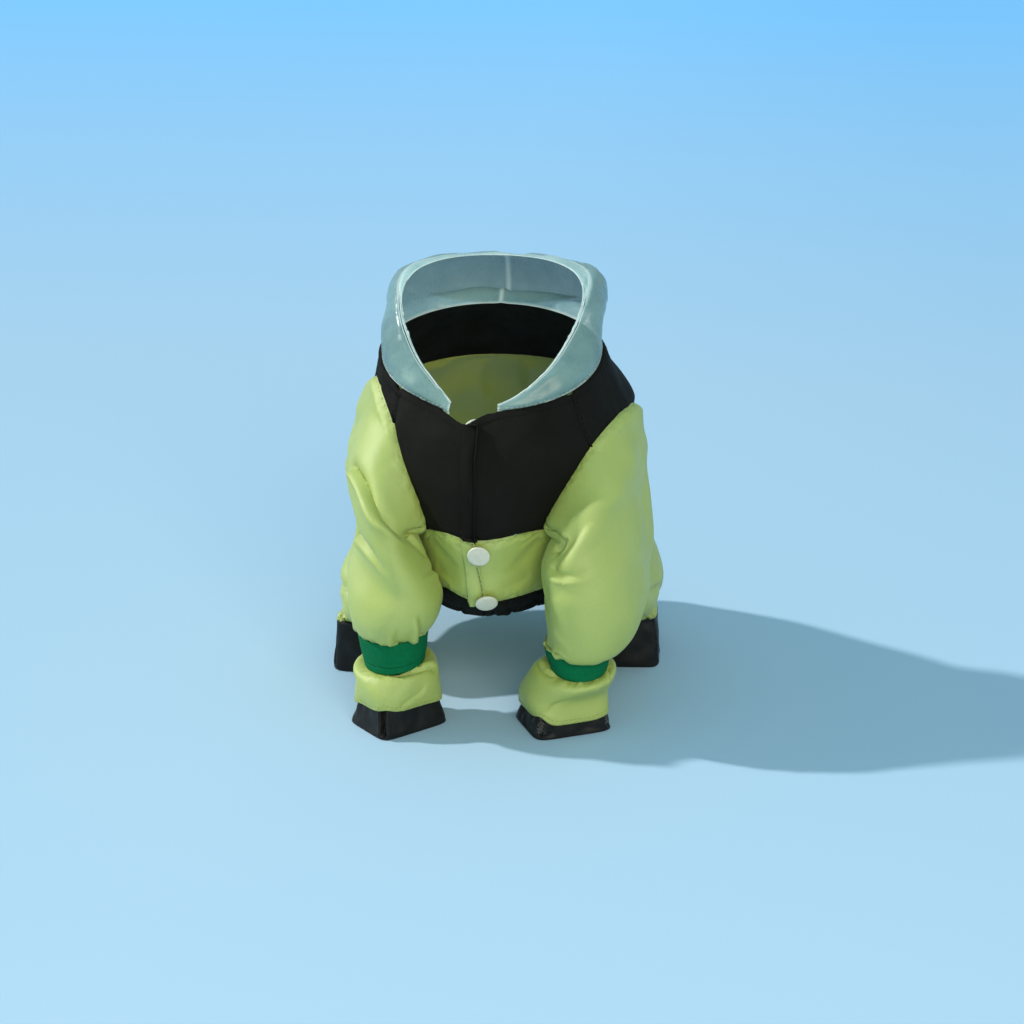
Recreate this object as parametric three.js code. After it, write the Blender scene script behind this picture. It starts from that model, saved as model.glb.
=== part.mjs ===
// A raincoat for a small dog, filled out as it sits when worn: a black yoke round the shoulders, a
// lime body, two front sleeves gathered by green bands into gaiters and black boots, two hind legs
// with black boots, a pale film hood pushed back, and a snapped placket down the front.
//
// Millimetres, +Z up. The coat faces -Y, and +X is the wearer's left. Heights in the tables are
// above the ground that the boots stand on, and the coat's group is moved so that the origin is
// where the wearer's withers hold the coat up.

import * as THREE from "three";

// ---------------------------------------------------------------- driving dimensions

const CLOTH = 1.2; // wall of every woven panel
const FILM = 1.0; // wall of the hood
const ELASTIC = 1.8; // wall of the wrist bands
const BOOT_WALL = 1.6;
const SOLE = 2.4;
const SEAM = 0.3; // gap between two pieces that are sewn together
const SNAP_RADIUS = 6.7;
const SNAP_HEIGHT = 2.2;
const WITHERS = { y: 85.6, z: 227.6 }; // on the inside of the back yoke, behind the neck

const COLOURS = {
  lime: { color: 0xa6bd62, roughness: 0.62, metalness: 0 },
  black: { color: 0x1b1b1a, roughness: 0.7, metalness: 0 },
  green: { color: 0x0a7a4a, roughness: 0.8, metalness: 0 },
  boot: { color: 0x202020, roughness: 0.42, metalness: 0 },
  film: { color: 0xa9c9c6, roughness: 0.3, metalness: 0 },
  snap: { color: 0xe6e7dc, roughness: 0.35, metalness: 0 },
};

const coat = new THREE.Group();
coat.position.set(0, -WITHERS.y, -WITHERS.z);

// ---------------------------------------------------------------- curves and tables

const vec = (x, y, z) => new THREE.Vector3(x, y, z);
const mix = (a, b, t) => a + (b - a) * t;
const degrees = THREE.MathUtils.degToRad;

// One number of a Catmull-Rom curve between b and c.
function catmull(a, b, c, d, t) {
  const slopeB = (c - a) / 2;
  const slopeC = (d - b) / 2;
  const t2 = t * t;
  const t3 = t2 * t;
  return (2 * t3 - 3 * t2 + 1) * b + (t3 - 2 * t2 + t) * slopeB + (3 * t2 - 2 * t3) * c + (t3 - t2) * slopeC;
}

// A row between the rows of a table of numbers, at place 0 .. rows - 1, by Catmull-Rom.
function rowAt(rows, place) {
  const last = rows.length - 1;
  const k = Math.min(Math.max(Math.floor(place), 0), last - 1);
  const t = place - k;
  const near = (i) => rows[Math.min(Math.max(i, 0), last)];
  return rows[k].map((_, n) => catmull(near(k - 1)[n], near(k)[n], near(k + 1)[n], near(k + 2)[n], t));
}

const evenly = (from, to, steps) => Array.from({ length: steps + 1 }, (_, i) => mix(from, to, i / steps));

// steps + 1 rows evenly spread along a table.
function spread(rows, steps) {
  return Array.from({ length: steps + 1 }, (_, i) => rowAt(rows, ((rows.length - 1) * i) / steps));
}

// ---------------------------------------------------------------- the body's form

// Closed rings from the neckline down to the seat. front and back are on the middle plane, side is
// the widest point, and narrow pulls the front of a ring in between the sleeves.
const BODY = [
  // name            frontY frontZ side shift sideY sideZ backY backZ narrow
  ["neck", -25, 194.5, 66.5, 0, 27, 216, 77, 232, 0.0],
  ["shoulder", -38, 177, 73, 2, 28, 195, 97, 221, 0.1],
  ["upper_chest", -46, 157, 82, 3, 34, 175, 119, 204, 0.22],
  ["chest", -49, 138, 83, 3, 44, 155, 139, 181, 0.32],
  ["chest_seam", -48.5, 122, 82, 3, 56, 134, 155, 158, 0.4],
  ["belly", -43, 101, 82, 2, 70, 111, 171, 129, 0.46],
  ["waist", -39.5, 84.5, 84, 2, 80, 90, 182, 99, 0.48],
  ["hem", -23, 68, 86, 1, 86, 71, 188, 74, 0.45],
  ["rump", 0, 54, 87, 0, 94, 49, 190, 48, 0.3],
].map(([, ...numbers]) => numbers);

// A point of the form: turn is 0 at the breast, 90 at the wearer's left side and 180 at the spine,
// and down counts the rings from the neckline. shift sets both sides of a ring over to the left.
function bodyPoint(turn, down) {
  const [frontY, frontZ, side, shift, sideY, sideZ, backY, backZ, narrow] = rowAt(BODY, down);
  const cos = Math.cos(degrees(turn));
  const sin = Math.sin(degrees(turn));
  const x = side * sin * (1 - narrow * Math.max(cos, 0)) + shift * sin * sin;
  const [endY, endZ] = cos > 0 ? [frontY, frontZ] : [backY, backZ];
  return vec(x, mix(sideY, endY, Math.abs(cos)), mix(sideZ, endZ, Math.abs(cos)));
}

function bodyNormal(turn, down) {
  const TURN_STEP = 0.5;
  const DOWN_STEP = 0.01;
  const across = bodyPoint(turn + TURN_STEP, down).sub(bodyPoint(turn - TURN_STEP, down));
  const along = bodyPoint(turn, down + DOWN_STEP).sub(bodyPoint(turn, Math.max(down - DOWN_STEP, 0)));
  return along.cross(across).normalize();
}

// Places spread over the form, to look up the one nearest a point.
const PLACES = [];
for (let turn = -180; turn < 180; turn += 4) {
  for (let down = 0; down <= BODY.length - 1; down += 0.2) {
    PLACES.push({ turn, down, point: bodyPoint(turn, down), normal: bodyNormal(turn, down) });
  }
}

// p, moved out along the form's normal where it's nearer the form than gap, or inside it.
function clearOfBody(p, gap) {
  let near = PLACES[0];
  for (const place of PLACES) {
    if (place.point.distanceToSquared(p) < near.point.distanceToSquared(p)) near = place;
  }
  const height = p.clone().sub(near.point).dot(near.normal);
  return height < gap ? p.clone().addScaledVector(near.normal, gap - height) : p;
}

// ---------------------------------------------------------------- seams, drawn on the form

// Each seam is a few [turn, down] points and the number of steps that both of its panels share.
// The two sides of the body twist a little, so the armholes have a table each.
const ARMHOLES = {
  left: {
    front: { steps: 6, points: [[38.5, 4.05], [40.6, 3.4], [45.7, 2.65], [51, 2.1], [56.5, 1.78]] },
    top: { steps: 7, points: [[56.5, 1.78], [66, 1.55], [80, 1.5], [94, 1.75], [106, 2.45]] },
    back: { steps: 5, points: [[106, 2.45], [106, 3.5], [92, 4.5]] },
    bottom: { steps: 6, points: [[92, 4.5], [74, 5.05], [52, 4.85], [38.5, 4.05]] },
  },
  right: {
    front: { steps: 6, points: [[-37.2, 4.15], [-37.8, 3.3], [-41, 2.5], [-45, 1.85], [-52, 1.15]] },
    top: { steps: 7, points: [[-52, 1.15], [-63, 0.75], [-78, 0.6], [-94, 1.1], [-106, 2.3]] },
    back: { steps: 5, points: [[-106, 2.3], [-106, 3.4], [-92, 4.5]] },
    bottom: { steps: 6, points: [[-92, 4.5], [-74, 5.05], [-52, 4.85], [-37.2, 4.15]] },
  },
};
const CHEST_STEPS = 5;
const SHOULDER_STEPS = 3;
const BACK_STEPS = 12;
const SIDE_STEPS = 5;
const LEG_SEAM_STEPS = 8;
const REAR_STEPS = 3;
const CHEST_SEAM_DOWN = 3.93;
const LIME_END = 6.3; // where the black hem starts at the placket, counted in rings
const HEM_CORNER = 6.5; // where it starts at the hind legs
const HEM_END = 7.2;
const HEM_TURN = 64; // where the hind leg starts
const HEM_BAND_TURN = 59; // the black hem's end
const SHOULDER_TURN = 49; // where the shoulder seams leave the neck

// The neckline's dip, as [turn, down], into a notch where the placket's edge meets it.
const NECKLINE = [
  [-60, 0.02], [-36, 0.04], [-22, 0.14], [-12, 0.42], [-8, 0.5], [-4, 0.36], [3, 0.12], [12, 0.02],
];
// The line where the right front lies under the left, hidden by the placket, as [turn, down].
const CENTRE_LINE = [[-5.5, 0], [-5.5, 2], [-6, CHEST_SEAM_DOWN], [-3.5, 5], [0, LIME_END], [1, HEM_END]];
// The seam between the lime belly and the black hem, as [turn, down]: it rises on the right.
const HEM_LINE = [
  [-HEM_TURN, HEM_CORNER], [-44, 6.2], [-25, 6.05], [-10, 6.2], [-4, LIME_END],
  [20, LIME_END], [42, 6.4], [HEM_TURN, HEM_CORNER],
];

// A value between the rows of a table that is sorted on its column from, held flat past its ends.
function lookUp(rows, from, to, value) {
  const k = rows.findIndex((row) => row[from] > value);
  if (k === 0) return rows[0][to];
  if (k < 0) return rows.at(-1)[to];
  const [a, b] = [rows[k - 1], rows[k]];
  return mix(a[to], b[to], (value - a[from]) / (b[from] - a[from]));
}

const neckDown = (turn) => (Math.abs(turn) > 60 ? 0.02 : lookUp(NECKLINE, 0, 1, turn));
const centreTurn = (down) => lookUp(CENTRE_LINE, 1, 0, down);
const hemDown = (turn) => lookUp(HEM_LINE, 0, 1, turn);

function seam({ steps, points }) {
  return spread(points, steps);
}

// steps + 1 places along the neckline between two turns.
function neckSeam(from, to, steps) {
  return evenly(from, to, steps).map((turn) => [turn, neckDown(turn)]);
}

// steps + 1 places down the centre line between two rings.
function centreSeam(from, to, steps) {
  return evenly(from, to, steps).map((down) => [centreTurn(down), down]);
}

// steps + 1 places along the seam above the hem, from the centre line to a turn.
function hemSeam(to, steps) {
  return evenly(centreTurn(LIME_END), to, steps).map((turn) => [turn, hemDown(turn)]);
}

// Seams of one side. sign is +1 on the wearer's left and -1 on the right.
function sideSeams(sign, armhole) {
  const armpit = armhole.front.points[0];
  const shoulder = armhole.front.points.at(-1);
  const hip = armhole.back.points.at(-1);
  const centreNeck = centreTurn(0);
  const hemCorner = [sign * HEM_TURN, HEM_CORNER];
  return {
    front: seam(armhole.front),
    top: seam(armhole.top),
    back: seam(armhole.back),
    bottom: seam(armhole.bottom),
    shoulder: spread([[sign * SHOULDER_TURN, neckDown(sign * SHOULDER_TURN)], shoulder], SHOULDER_STEPS),
    neck: neckSeam(centreNeck, sign * SHOULDER_TURN, CHEST_STEPS),
    chest: spread([[centreTurn(CHEST_SEAM_DOWN), CHEST_SEAM_DOWN], [sign * 22, 3.9], armpit], CHEST_STEPS),
    side: spread([hip, [sign * 80, 5.5], hemCorner], SIDE_STEPS),
    limeEnd: hemSeam(sign * HEM_TURN, CHEST_STEPS + armhole.bottom.steps),
    leg: spread([hemCorner, [sign * 88, 5.8], [sign * 116, 5.9], [sign * 140, 7.1]], LEG_SEAM_STEPS),
    rear: spread([[sign * 140, 7.1], [sign * 160, 7.0], [sign * 180, 6.9]], REAR_STEPS),
  };
}

const SEAMS = { left: sideSeams(1, ARMHOLES.left), right: sideSeams(-1, ARMHOLES.right) };

const joined = (...runs) => runs.flatMap((run, i) => (i ? run.slice(1) : run));
const reversed = (run) => [...run].reverse();
// The same run, with turns counted on past the spine instead of from the breast.
const pastSpine = (run) => run.map(([turn, down]) => [turn + 360, down]);

// ---------------------------------------------------------------- panels into solids

// A closed solid from a grid of inner points and one of outer points. wraps closes it into a tube.
function solid(inner, outer, wraps = false) {
  const rows = inner.length;
  const columns = inner[0].length;
  const points = [...inner.flat(), ...outer.flat()];
  const at = (side, j, i) => side * rows * columns + j * columns + (wraps ? (i + columns) % columns : i);
  const faces = [];
  const quad = (a, b, c, d) => faces.push([a, b, c], [a, c, d]);
  const spans = wraps ? columns : columns - 1;
  for (let j = 0; j < rows - 1; j += 1) {
    for (let i = 0; i < spans; i += 1) {
      quad(at(0, j, i), at(0, j, i + 1), at(0, j + 1, i + 1), at(0, j + 1, i));
      quad(at(1, j, i), at(1, j + 1, i), at(1, j + 1, i + 1), at(1, j, i + 1));
    }
  }
  for (let i = 0; i < spans; i += 1) {
    quad(at(0, 0, i), at(1, 0, i), at(1, 0, i + 1), at(0, 0, i + 1));
    quad(at(0, rows - 1, i), at(0, rows - 1, i + 1), at(1, rows - 1, i + 1), at(1, rows - 1, i));
  }
  if (!wraps) {
    for (let j = 0; j < rows - 1; j += 1) {
      quad(at(0, j, 0), at(0, j + 1, 0), at(1, j + 1, 0), at(1, j, 0));
      quad(at(0, j, columns - 1), at(1, j, columns - 1), at(1, j + 1, columns - 1), at(0, j + 1, columns - 1));
    }
  }
  return facesOut(points, faces);
}

// A geometry whose faces point out, whichever way round they were listed.
function facesOut(points, faces) {
  let volume = 0;
  for (const [a, b, c] of faces) {
    volume += points[a].dot(points[b].clone().cross(points[c]));
  }
  const turned = volume < 0 ? faces.map(([a, b, c]) => [a, c, b]) : faces;
  const geometry = new THREE.BufferGeometry();
  const numbers = points.flatMap((p) => [p.x, p.y, p.z]);
  geometry.setAttribute("position", new THREE.Float32BufferAttribute(numbers, 3));
  geometry.setIndex(turned.flat());
  geometry.computeVertexNormals();
  return geometry;
}

function add(name, look, geometry) {
  const mesh = new THREE.Mesh(geometry, new THREE.MeshStandardMaterial(COLOURS[look]));
  mesh.name = name;
  coat.add(mesh);
}

// A grid of [turn, down] inside four edges: top and bottom run one way, left and right the other.
function patch({ top, bottom, left, right }) {
  const columns = top.length - 1;
  const rows = left.length - 1;
  const corner = { a: top[0], b: top[columns], c: bottom[0], d: bottom[columns] };
  return left.map((_, j) =>
    top.map((__, i) => {
      const u = i / columns;
      const v = j / rows;
      return [0, 1].map((n) => {
        const ruled = mix(top[i][n], bottom[i][n], v) + mix(left[j][n], right[j][n], u);
        return ruled - mix(mix(corner.a[n], corner.b[n], u), mix(corner.c[n], corner.d[n], u), v);
      });
    }),
  );
}

// The grid with its border points drawn in by half a seam, along the surface.
function drawnIn(grid) {
  const moved = grid.map((row) => row.map((p) => p.clone()));
  const rows = grid.length;
  const columns = grid[0].length;
  const pull = (j, i, toJ, toI) => {
    const way = grid[toJ][toI].clone().sub(grid[j][i]);
    moved[j][i].addScaledVector(way.normalize(), SEAM / 2);
  };
  for (let i = 0; i < columns; i += 1) {
    pull(0, i, 1, i);
    pull(rows - 1, i, rows - 2, i);
  }
  for (let j = 0; j < rows; j += 1) {
    pull(j, 0, j, 1);
    pull(j, columns - 1, j, columns - 2);
  }
  return moved;
}

// A panel of the body: the form's own points, and the same points moved out by the cloth. lift
// moves the whole panel out, so that it lies on another.
function bodyPanel(name, look, edges, { lift = 0, wall = CLOTH } = {}) {
  const grid = patch(edges);
  const base = drawnIn(grid.map((row) => row.map(([turn, down]) => bodyPoint(turn, down))));
  const out = (distance) =>
    base.map((row, j) =>
      row.map((p, i) => p.clone().addScaledVector(bodyNormal(...grid[j][i]), distance)),
    );
  add(name, look, solid(out(lift), out(lift + wall)));
}

// ---------------------------------------------------------------- tubes: sleeves, legs, gaiters

// A ring through four points: out is the side away from the body, and in the side towards it.
// corners is 1 on an oval, and less on a ring that is squarer.
function ringPoint([outX, outY, outZ, inX, inY, inZ, frontY, frontZ, backX, backY, backZ, corners], turn) {
  const cos = Math.cos(degrees(turn));
  const sin = Math.sin(degrees(turn));
  const across = Math.sign(sin) * Math.abs(sin) ** corners;
  const along = Math.abs(cos) ** corners;
  const middle = vec((outX + inX) / 2, (outY + inY) / 2, (outZ + inZ) / 2);
  const side = vec(outX - inX, outY - inY, outZ - inZ).multiplyScalar(across / 2);
  const end = cos >= 0 ? vec(middle.x, frontY, frontZ) : vec(backX, backY, backZ);
  return middle.clone().add(side).add(end.sub(middle).multiplyScalar(along));
}

// Outward normals of a tube's grid of points.
function tubeNormals(grid) {
  const rows = grid.length;
  const columns = grid[0].length;
  const normals = grid.map((row, j) =>
    row.map((_, i) => {
      const across = grid[j][(i + 1) % columns].clone().sub(grid[j][(i - 1 + columns) % columns]);
      const along = grid[Math.min(j + 1, rows - 1)][i].clone().sub(grid[Math.max(j - 1, 0)][i]);
      return across.cross(along).normalize();
    }),
  );
  return normals;
}

// A tube's wall, laid outside its grid. towards gives, for the first and the last ring, the way to
// the neighbour that is sewn on there at each point, and the ring backs off to leave the seam's gap.
function tube(name, look, grid, towards, { wall = CLOTH, gap = SEAM } = {}) {
  const normals = tubeNormals(grid);
  const middle = new THREE.Vector3();
  grid[1].forEach((p) => middle.addScaledVector(p, 1 / grid[1].length));
  const facing = grid[1].reduce((sum, p, i) => sum + normals[1][i].dot(p.clone().sub(middle)), 0);
  if (facing < 0) {
    normals.forEach((row) => row.forEach((n) => n.negate()));
  }
  const base = grid.map((row) => row.map((p) => p.clone()));
  const backOff = (j, ways) => {
    base[j].forEach((p, i) => {
      const way = ways[i];
      p.addScaledVector(way, -(gap + wall * Math.max(normals[j][i].dot(way), 0)));
    });
  };
  backOff(0, towards.first);
  backOff(grid.length - 1, towards.last);
  const outer = base.map((row, j) => row.map((p, i) => p.clone().addScaledVector(normals[j][i], wall)));
  add(name, look, solid(base, outer, true));
}

const allAlong = (ring, way) => ring.map(() => way);
const UP = vec(0, 0, 1);
const DOWN = vec(0, 0, -1);

// The way out of a run of [turn, down] places drawn on the body, along the body and away from the
// run's middle. A loop runs on from its last place to its first.
function waysOut(run, isLoop) {
  const points = run.map(([turn, down]) => bodyPoint(turn, down));
  const last = points.length - 1;
  const middle = new THREE.Vector3();
  points.forEach((p) => middle.addScaledVector(p, 1 / points.length));
  return points.map((p, i) => {
    const before = points[i > 0 ? i - 1 : isLoop ? last : 0];
    const after = points[i < last ? i + 1 : isLoop ? 0 : last];
    const way = after.clone().sub(before).cross(bodyNormal(...run[i])).normalize();
    return way.dot(p.clone().sub(middle)) < 0 ? way.negate() : way;
  });
}

const round = (count) => Array.from({ length: count }, (_, i) => (360 * i) / count);

// Sleeves, from below the armhole to the wrist. The last ring is tucked in at the band.
const SLEEVES = {
  left: [
    // outX outY outZ  inX inY inZ  frontY frontZ  backX backY backZ  corners
    [88, 22, 163, 45, -24, 119, -46, 139, 80, 52, 136, 1],
    [90, 10, 140, 38.5, -31, 107, -56, 118, 80, 42, 119, 1],
    [95, 2, 117, 38, -32, 97, -60, 100, 80, 30, 103, 1],
    [96, -7, 97, 39, -31, 87, -61, 84, 77, 17, 89, 1],
    [97, -14, 79, 40, -31, 74, -60, 69, 74, 6, 73, 1],
    [92, -20, 63, 41, -31, 62, -57, 55, 67, -3, 60, 1],
    [83, -25, 54, 40.5, -32, 55.5, -53.5, 50.5, 61, -9, 55.5, 1],
    [78, -28, 55, 38, -32, 56, -52, 53.5, 58, -10.5, 56.5, 1],
  ],
  right: [
    [-80, 22, 168, -41.5, -24, 119.5, -46, 144, -77, 52, 138, 1],
    [-84, 12, 148, -34, -30, 107, -55, 123, -79, 42, 120, 1],
    [-77, 2, 125, -29.5, -31, 99, -58, 105, -75, 28, 105, 1],
    [-76, -9, 109, -26, -32, 91, -58, 92, -69, 15, 92, 1],
    [-80.5, -18, 90, -24, -32, 83, -60, 79, -67, 5, 81, 1],
    [-80, -24, 74, -26, -32, 72, -59, 69, -60, -3, 70, 1],
    [-77, -28, 61.5, -31, -32, 63, -54.5, 59.5, -56, -8, 62, 1],
    [-75, -29, 59, -32.5, -31, 61, -53, 59.5, -54, -10, 62, 1],
  ],
};
const SLEEVE_GAP = 1; // between a sleeve and the side that it hangs against

// Where each armhole seam starts, going round a sleeve's rings.
const ARMHOLE_TURNS = { front: -42, top: 38, back: 152, bottom: 218, end: 318 };

function sleeveTurns(seams) {
  const runs = [
    [seams.front, ARMHOLE_TURNS.front, ARMHOLE_TURNS.top],
    [seams.top, ARMHOLE_TURNS.top, ARMHOLE_TURNS.back],
    [seams.back, ARMHOLE_TURNS.back, ARMHOLE_TURNS.bottom],
    [seams.bottom, ARMHOLE_TURNS.bottom, ARMHOLE_TURNS.end],
  ];
  return runs.flatMap(([run, from, to]) => run.slice(1).map((_, i) => mix(from, to, i / (run.length - 1))));
}

function sleeve(side) {
  const seams = SEAMS[side];
  const armhole = joined(seams.front, seams.top, seams.back, seams.bottom).slice(0, -1);
  const turns = sleeveTurns(seams);
  const first = armhole.map(([turn, down]) => bodyPoint(turn, down));
  const rings = SLEEVES[side].map((row) => turns.map((turn) => ringPoint(row, turn)));
  const clear = rings.map((ring) => ring.map((p) => clearOfBody(p, 2 * CLOTH + SLEEVE_GAP)));
  const wrist = turns.map((turn) => ringPoint(BANDS[side][0], turn));
  const towards = { first: waysOut(armhole, true), last: allAlong(wrist, DOWN) };
  tube(`sleeve_${side}`, "lime", [first, ...clear, wrist], towards, { gap: SEAM + 0.2 });
}

// Elastic bands, gaiters and boots of the front legs.
const BANDS = {
  left: [
    [75.5, -29, 51, 39.5, -32, 52.5, -49, 50, 57.5, -13, 53, 1],
    [75, -31, 45, 41, -33, 48, -50, 43, 58, -15, 48, 1],
    [74, -33, 40.5, 43, -34, 43, -50, 38, 58.5, -18, 43, 1],
  ],
  right: [
    [-73, -30, 55, -34, -31, 57.5, -50.5, 56, -53.5, -12, 58.5, 1],
    [-71, -31, 46, -35, -32, 49, -51, 47, -53, -14, 50, 1],
    [-69, -32, 38, -36, -33, 41, -51, 38, -52.5, -16, 42, 1],
  ],
};
// A gaiter goes from round under its band to the outline of its boot, which it overhangs a little.
const GAITERS = {
  left: [
    [74, -33, 39, 43, -34, 41.5, -50, 36.5, 58.5, -18, 42, 1],
    [80, -31, 37.5, 33, -33, 38.5, -55, 33, 57, -8, 39, 1],
  ],
  right: [
    [-69, -32, 36.5, -36, -33, 39.5, -51, 36.5, -52.5, -16, 41, 1],
    [-76, -35, 35, -29, -33, 38, -56, 34, -52.5, -9, 38, 1],
  ],
};
const GAITER_OVERHANG = { inset: 1.2, above: 6, corners: 0.62 };
const WRIST_TURNS = round(20);

function gaiter(side) {
  const size = BOOTS[`boot_front_${side}`];
  const rimTurns = turnsOnBoot(size, side, WRIST_TURNS);
  const { inset, above, corners } = GAITER_OVERHANG;
  const overhang = bootRing(size, inset, size.height + above, rimTurns, corners);
  const rim = bootRim(size, rimTurns);
  const rings = GAITERS[side].map((row) => WRIST_TURNS.map((turn) => ringPoint(row, turn)));
  const ends = { first: allAlong(rim, UP), last: allAlong(rim, DOWN) };
  tube(`gaiter_${side}`, "lime", [...rings, overhang, rim], ends);
}

// Hind legs. The first ring's outer half is sewn to the body, and its inner half is free.
const HIND_LEGS = {
  left: [
    [99, 74, 66, 50, 80, 54, 26, 59, 76, 152, 54, 1],
    [102, 78, 54, 56, 84, 45, 28, 48, 80, 142, 43, 0.95],
    [100, 82, 44, 63, 85, 39, 42, 41, 83, 126, 38, 0.8],
    [98, 85, 38, 67, 86, 36, 54, 37, 83, 118, 36, 0.6],
  ],
  right: [
    [-97, 68, 66, -50, 74, 54, 16, 59, -74, 150, 54, 1],
    [-99, 68, 52, -56, 72, 44, 12, 48, -79, 134, 43, 0.95],
    [-98, 64, 42, -64, 65, 38, 20, 40, -82, 110, 38, 0.8],
    [-96, 62, 37, -68, 63, 36, 30, 37, -82, 95, 36, 0.6],
  ],
};
const FREE_EDGE_STEPS = 9;
// The middle of the free edge of each hind leg.
const FREE_EDGE = { left: vec(44, 92, 52), right: vec(-44, 88, 52) };

function hindLeg(side) {
  const seams = SEAMS[side];
  const sewn = seams.leg.map(([turn, down]) => bodyPoint(turn, down));
  const [front, back] = [sewn[0], sewn.at(-1)];
  const free = evenly(0, 1, FREE_EDGE_STEPS).slice(1, -1).map((t) => {
    const straight = back.clone().lerp(front, t);
    return straight.lerp(FREE_EDGE[side], 0.8 * Math.sin(Math.PI * t));
  });
  const turns = [
    ...seams.leg.map((_, i) => (180 * i) / LEG_SEAM_STEPS),
    ...free.map((_, i) => 180 + (180 * (i + 1)) / FREE_EDGE_STEPS),
  ];
  const below = HIND_LEGS[side].map((row) => turns.map((turn) => ringPoint(row, turn)));
  const size = BOOTS[`boot_hind_${side}`];
  const rim = bootRim(size, turnsOnBoot(size, side, turns));
  const first = [...sewn, ...free];
  const outOfLeg = waysOut(seams.leg, false);
  tube(`hind_leg_${side}`, "lime", [first, ...below, rim], {
    first: first.map((_, i) => (i < sewn.length ? outOfLeg[i] : UP)),
    last: allAlong(rim, DOWN),
  });
}

// ---------------------------------------------------------------- boots

// A boot is a bag with four soft corners. heading turns its long side, and lean draws its top in.
const BOOTS = {
  boot_front_left: { x: 49, y: -28, width: 50, length: 43, height: 17, heading: 26, lean: 4 },
  boot_front_right: { x: -50, y: -37, width: 49, length: 40, height: 19, heading: 43, lean: 4 },
  boot_hind_left: { x: 83, y: 88, width: 37, length: 60, height: 33, heading: 4, lean: 2.5 },
  boot_hind_right: { x: -83, y: 62, width: 37, length: 60, height: 33, heading: -6, lean: 2.5 },
};
const BOOT_TURNS = round(20);
const BOOT_CORNERS = 0.3; // less is squarer
const RIM_STEPS = 2;

// A ring of a boot, inset from its sole's outline, at the places in turns: 0 is the toe.
function bootRing({ x, y, width, length, heading }, inset, z, turns, corners = BOOT_CORNERS) {
  return turns.map((turn) => {
    const cos = Math.cos(degrees(turn));
    const sin = Math.sin(degrees(turn));
    const across = (width / 2 - inset) * Math.sign(sin) * Math.abs(sin) ** corners;
    const along = (length / 2 - inset) * Math.sign(cos) * Math.abs(cos) ** corners;
    return vec(across, -along, z).applyAxisAngle(vec(0, 0, 1), degrees(heading)).add(vec(x, y, 0));
  });
}

// A leg ring's places, counted from the boot's own toe: a leg's turns go by its outer side.
function turnsOnBoot({ heading }, side, turns) {
  return turns.map((turn) => (side === "left" ? turn : -turn) - heading);
}

// The rim, where a boot is sewn to the cloth above it.
function bootRim(size, turns) {
  return bootRing(size, size.lean + 0.3, size.height + SEAM / 2, turns);
}

// A bag with a flat sole: outer rings up to the rim, then inner rings down to the insole.
function boot(name, size) {
  const rings = [];
  const insetAt = (z) => (size.lean * z) / size.height;
  for (let j = 0; j <= RIM_STEPS; j += 1) {
    const z = (size.height * j) / RIM_STEPS;
    rings.push(bootRing(size, insetAt(z), z, BOOT_TURNS));
  }
  for (let j = RIM_STEPS; j >= 0; j -= 1) {
    const z = mix(SOLE, size.height, j / RIM_STEPS);
    rings.push(bootRing(size, insetAt(z) + BOOT_WALL, z, BOOT_TURNS));
  }
  const points = rings.flat();
  const sides = BOOT_TURNS.length;
  const faces = [];
  for (let j = 0; j < rings.length - 1; j += 1) {
    for (let i = 0; i < sides; i += 1) {
      const next = (i + 1) % sides;
      const [a, b] = [j * sides + i, j * sides + next];
      faces.push([a, b, b + sides], [a, b + sides, a + sides]);
    }
  }
  const sole = points.push(vec(size.x, size.y, 0)) - 1;
  const insole = points.push(vec(size.x, size.y, SOLE)) - 1;
  const top = (rings.length - 1) * sides;
  for (let i = 0; i < sides; i += 1) {
    const next = (i + 1) % sides;
    faces.push([sole, next, i], [insole, top + i, top + next]);
  }
  add(name, "boot", facesOut(points, faces));
}

// ---------------------------------------------------------------- hood

// How the film rises from the neckline at each turn: four places as [outwards, upwards] from the
// seam, the last one at the brim. At the back it hangs over as a pouch.
const HOOD = [
  // turn  out1 up1  out2 up2  out3 up3  brimOut brimUp
  [8, 0.5, 1, 0.5, 2, 0, 3, -0.5, 4],
  [35, 1, 4, -1, 8, -4, 13, -7, 14],
  [65, 0, 9, -4, 18, -8, 25, -12, 26],
  [95, 0, 10, -3, 21, -7, 30, -12, 32],
  [130, 6, 7.5, 18, 13, 12, 29, -6, 33],
  [180, 12, 6.5, 44, -11, 40, 18, 2, 30],
];
const HOOD_STEPS = 10; // round half the neck
const HOOD_RISE_STEPS = 7;
const HOOD_FRONT = { left: 8, right: -17 }; // the turns where the hood's front edges start
const BRIM_FROM = 0.86; // the brim's casing takes the rest of the rise
const NECK_CENTRE = vec(0, 25, 0);

function hoodPoint(turn, rise) {
  const past = THREE.MathUtils.euclideanModulo(turn, 360);
  const along = Math.min(past, 360 - past);
  const k = Math.max(HOOD.findLastIndex((row, i) => row[0] <= along && i < HOOD.length - 1), 0);
  const place = k + (along - HOOD[k][0]) / (HOOD[k + 1][0] - HOOD[k][0]);
  const [, out1, up1, out2, up2, out3, up3, brimOut, brimUp] = rowAt(HOOD, place);
  const path = [[0, 0], [out1, up1], [out2, up2], [out3, up3], [brimOut, brimUp]];
  const [outwards, upwards] = rowAt(path, rise * (path.length - 1));
  const seamPoint = bodyPoint(turn, neckDown(past > 180 ? past - 360 : past));
  const way = vec(seamPoint.x, seamPoint.y - NECK_CENTRE.y, 0).normalize();
  return seamPoint.addScaledVector(way, outwards - FILM - SEAM).add(vec(0, 0, upwards + 1.5 * SEAM));
}

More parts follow.
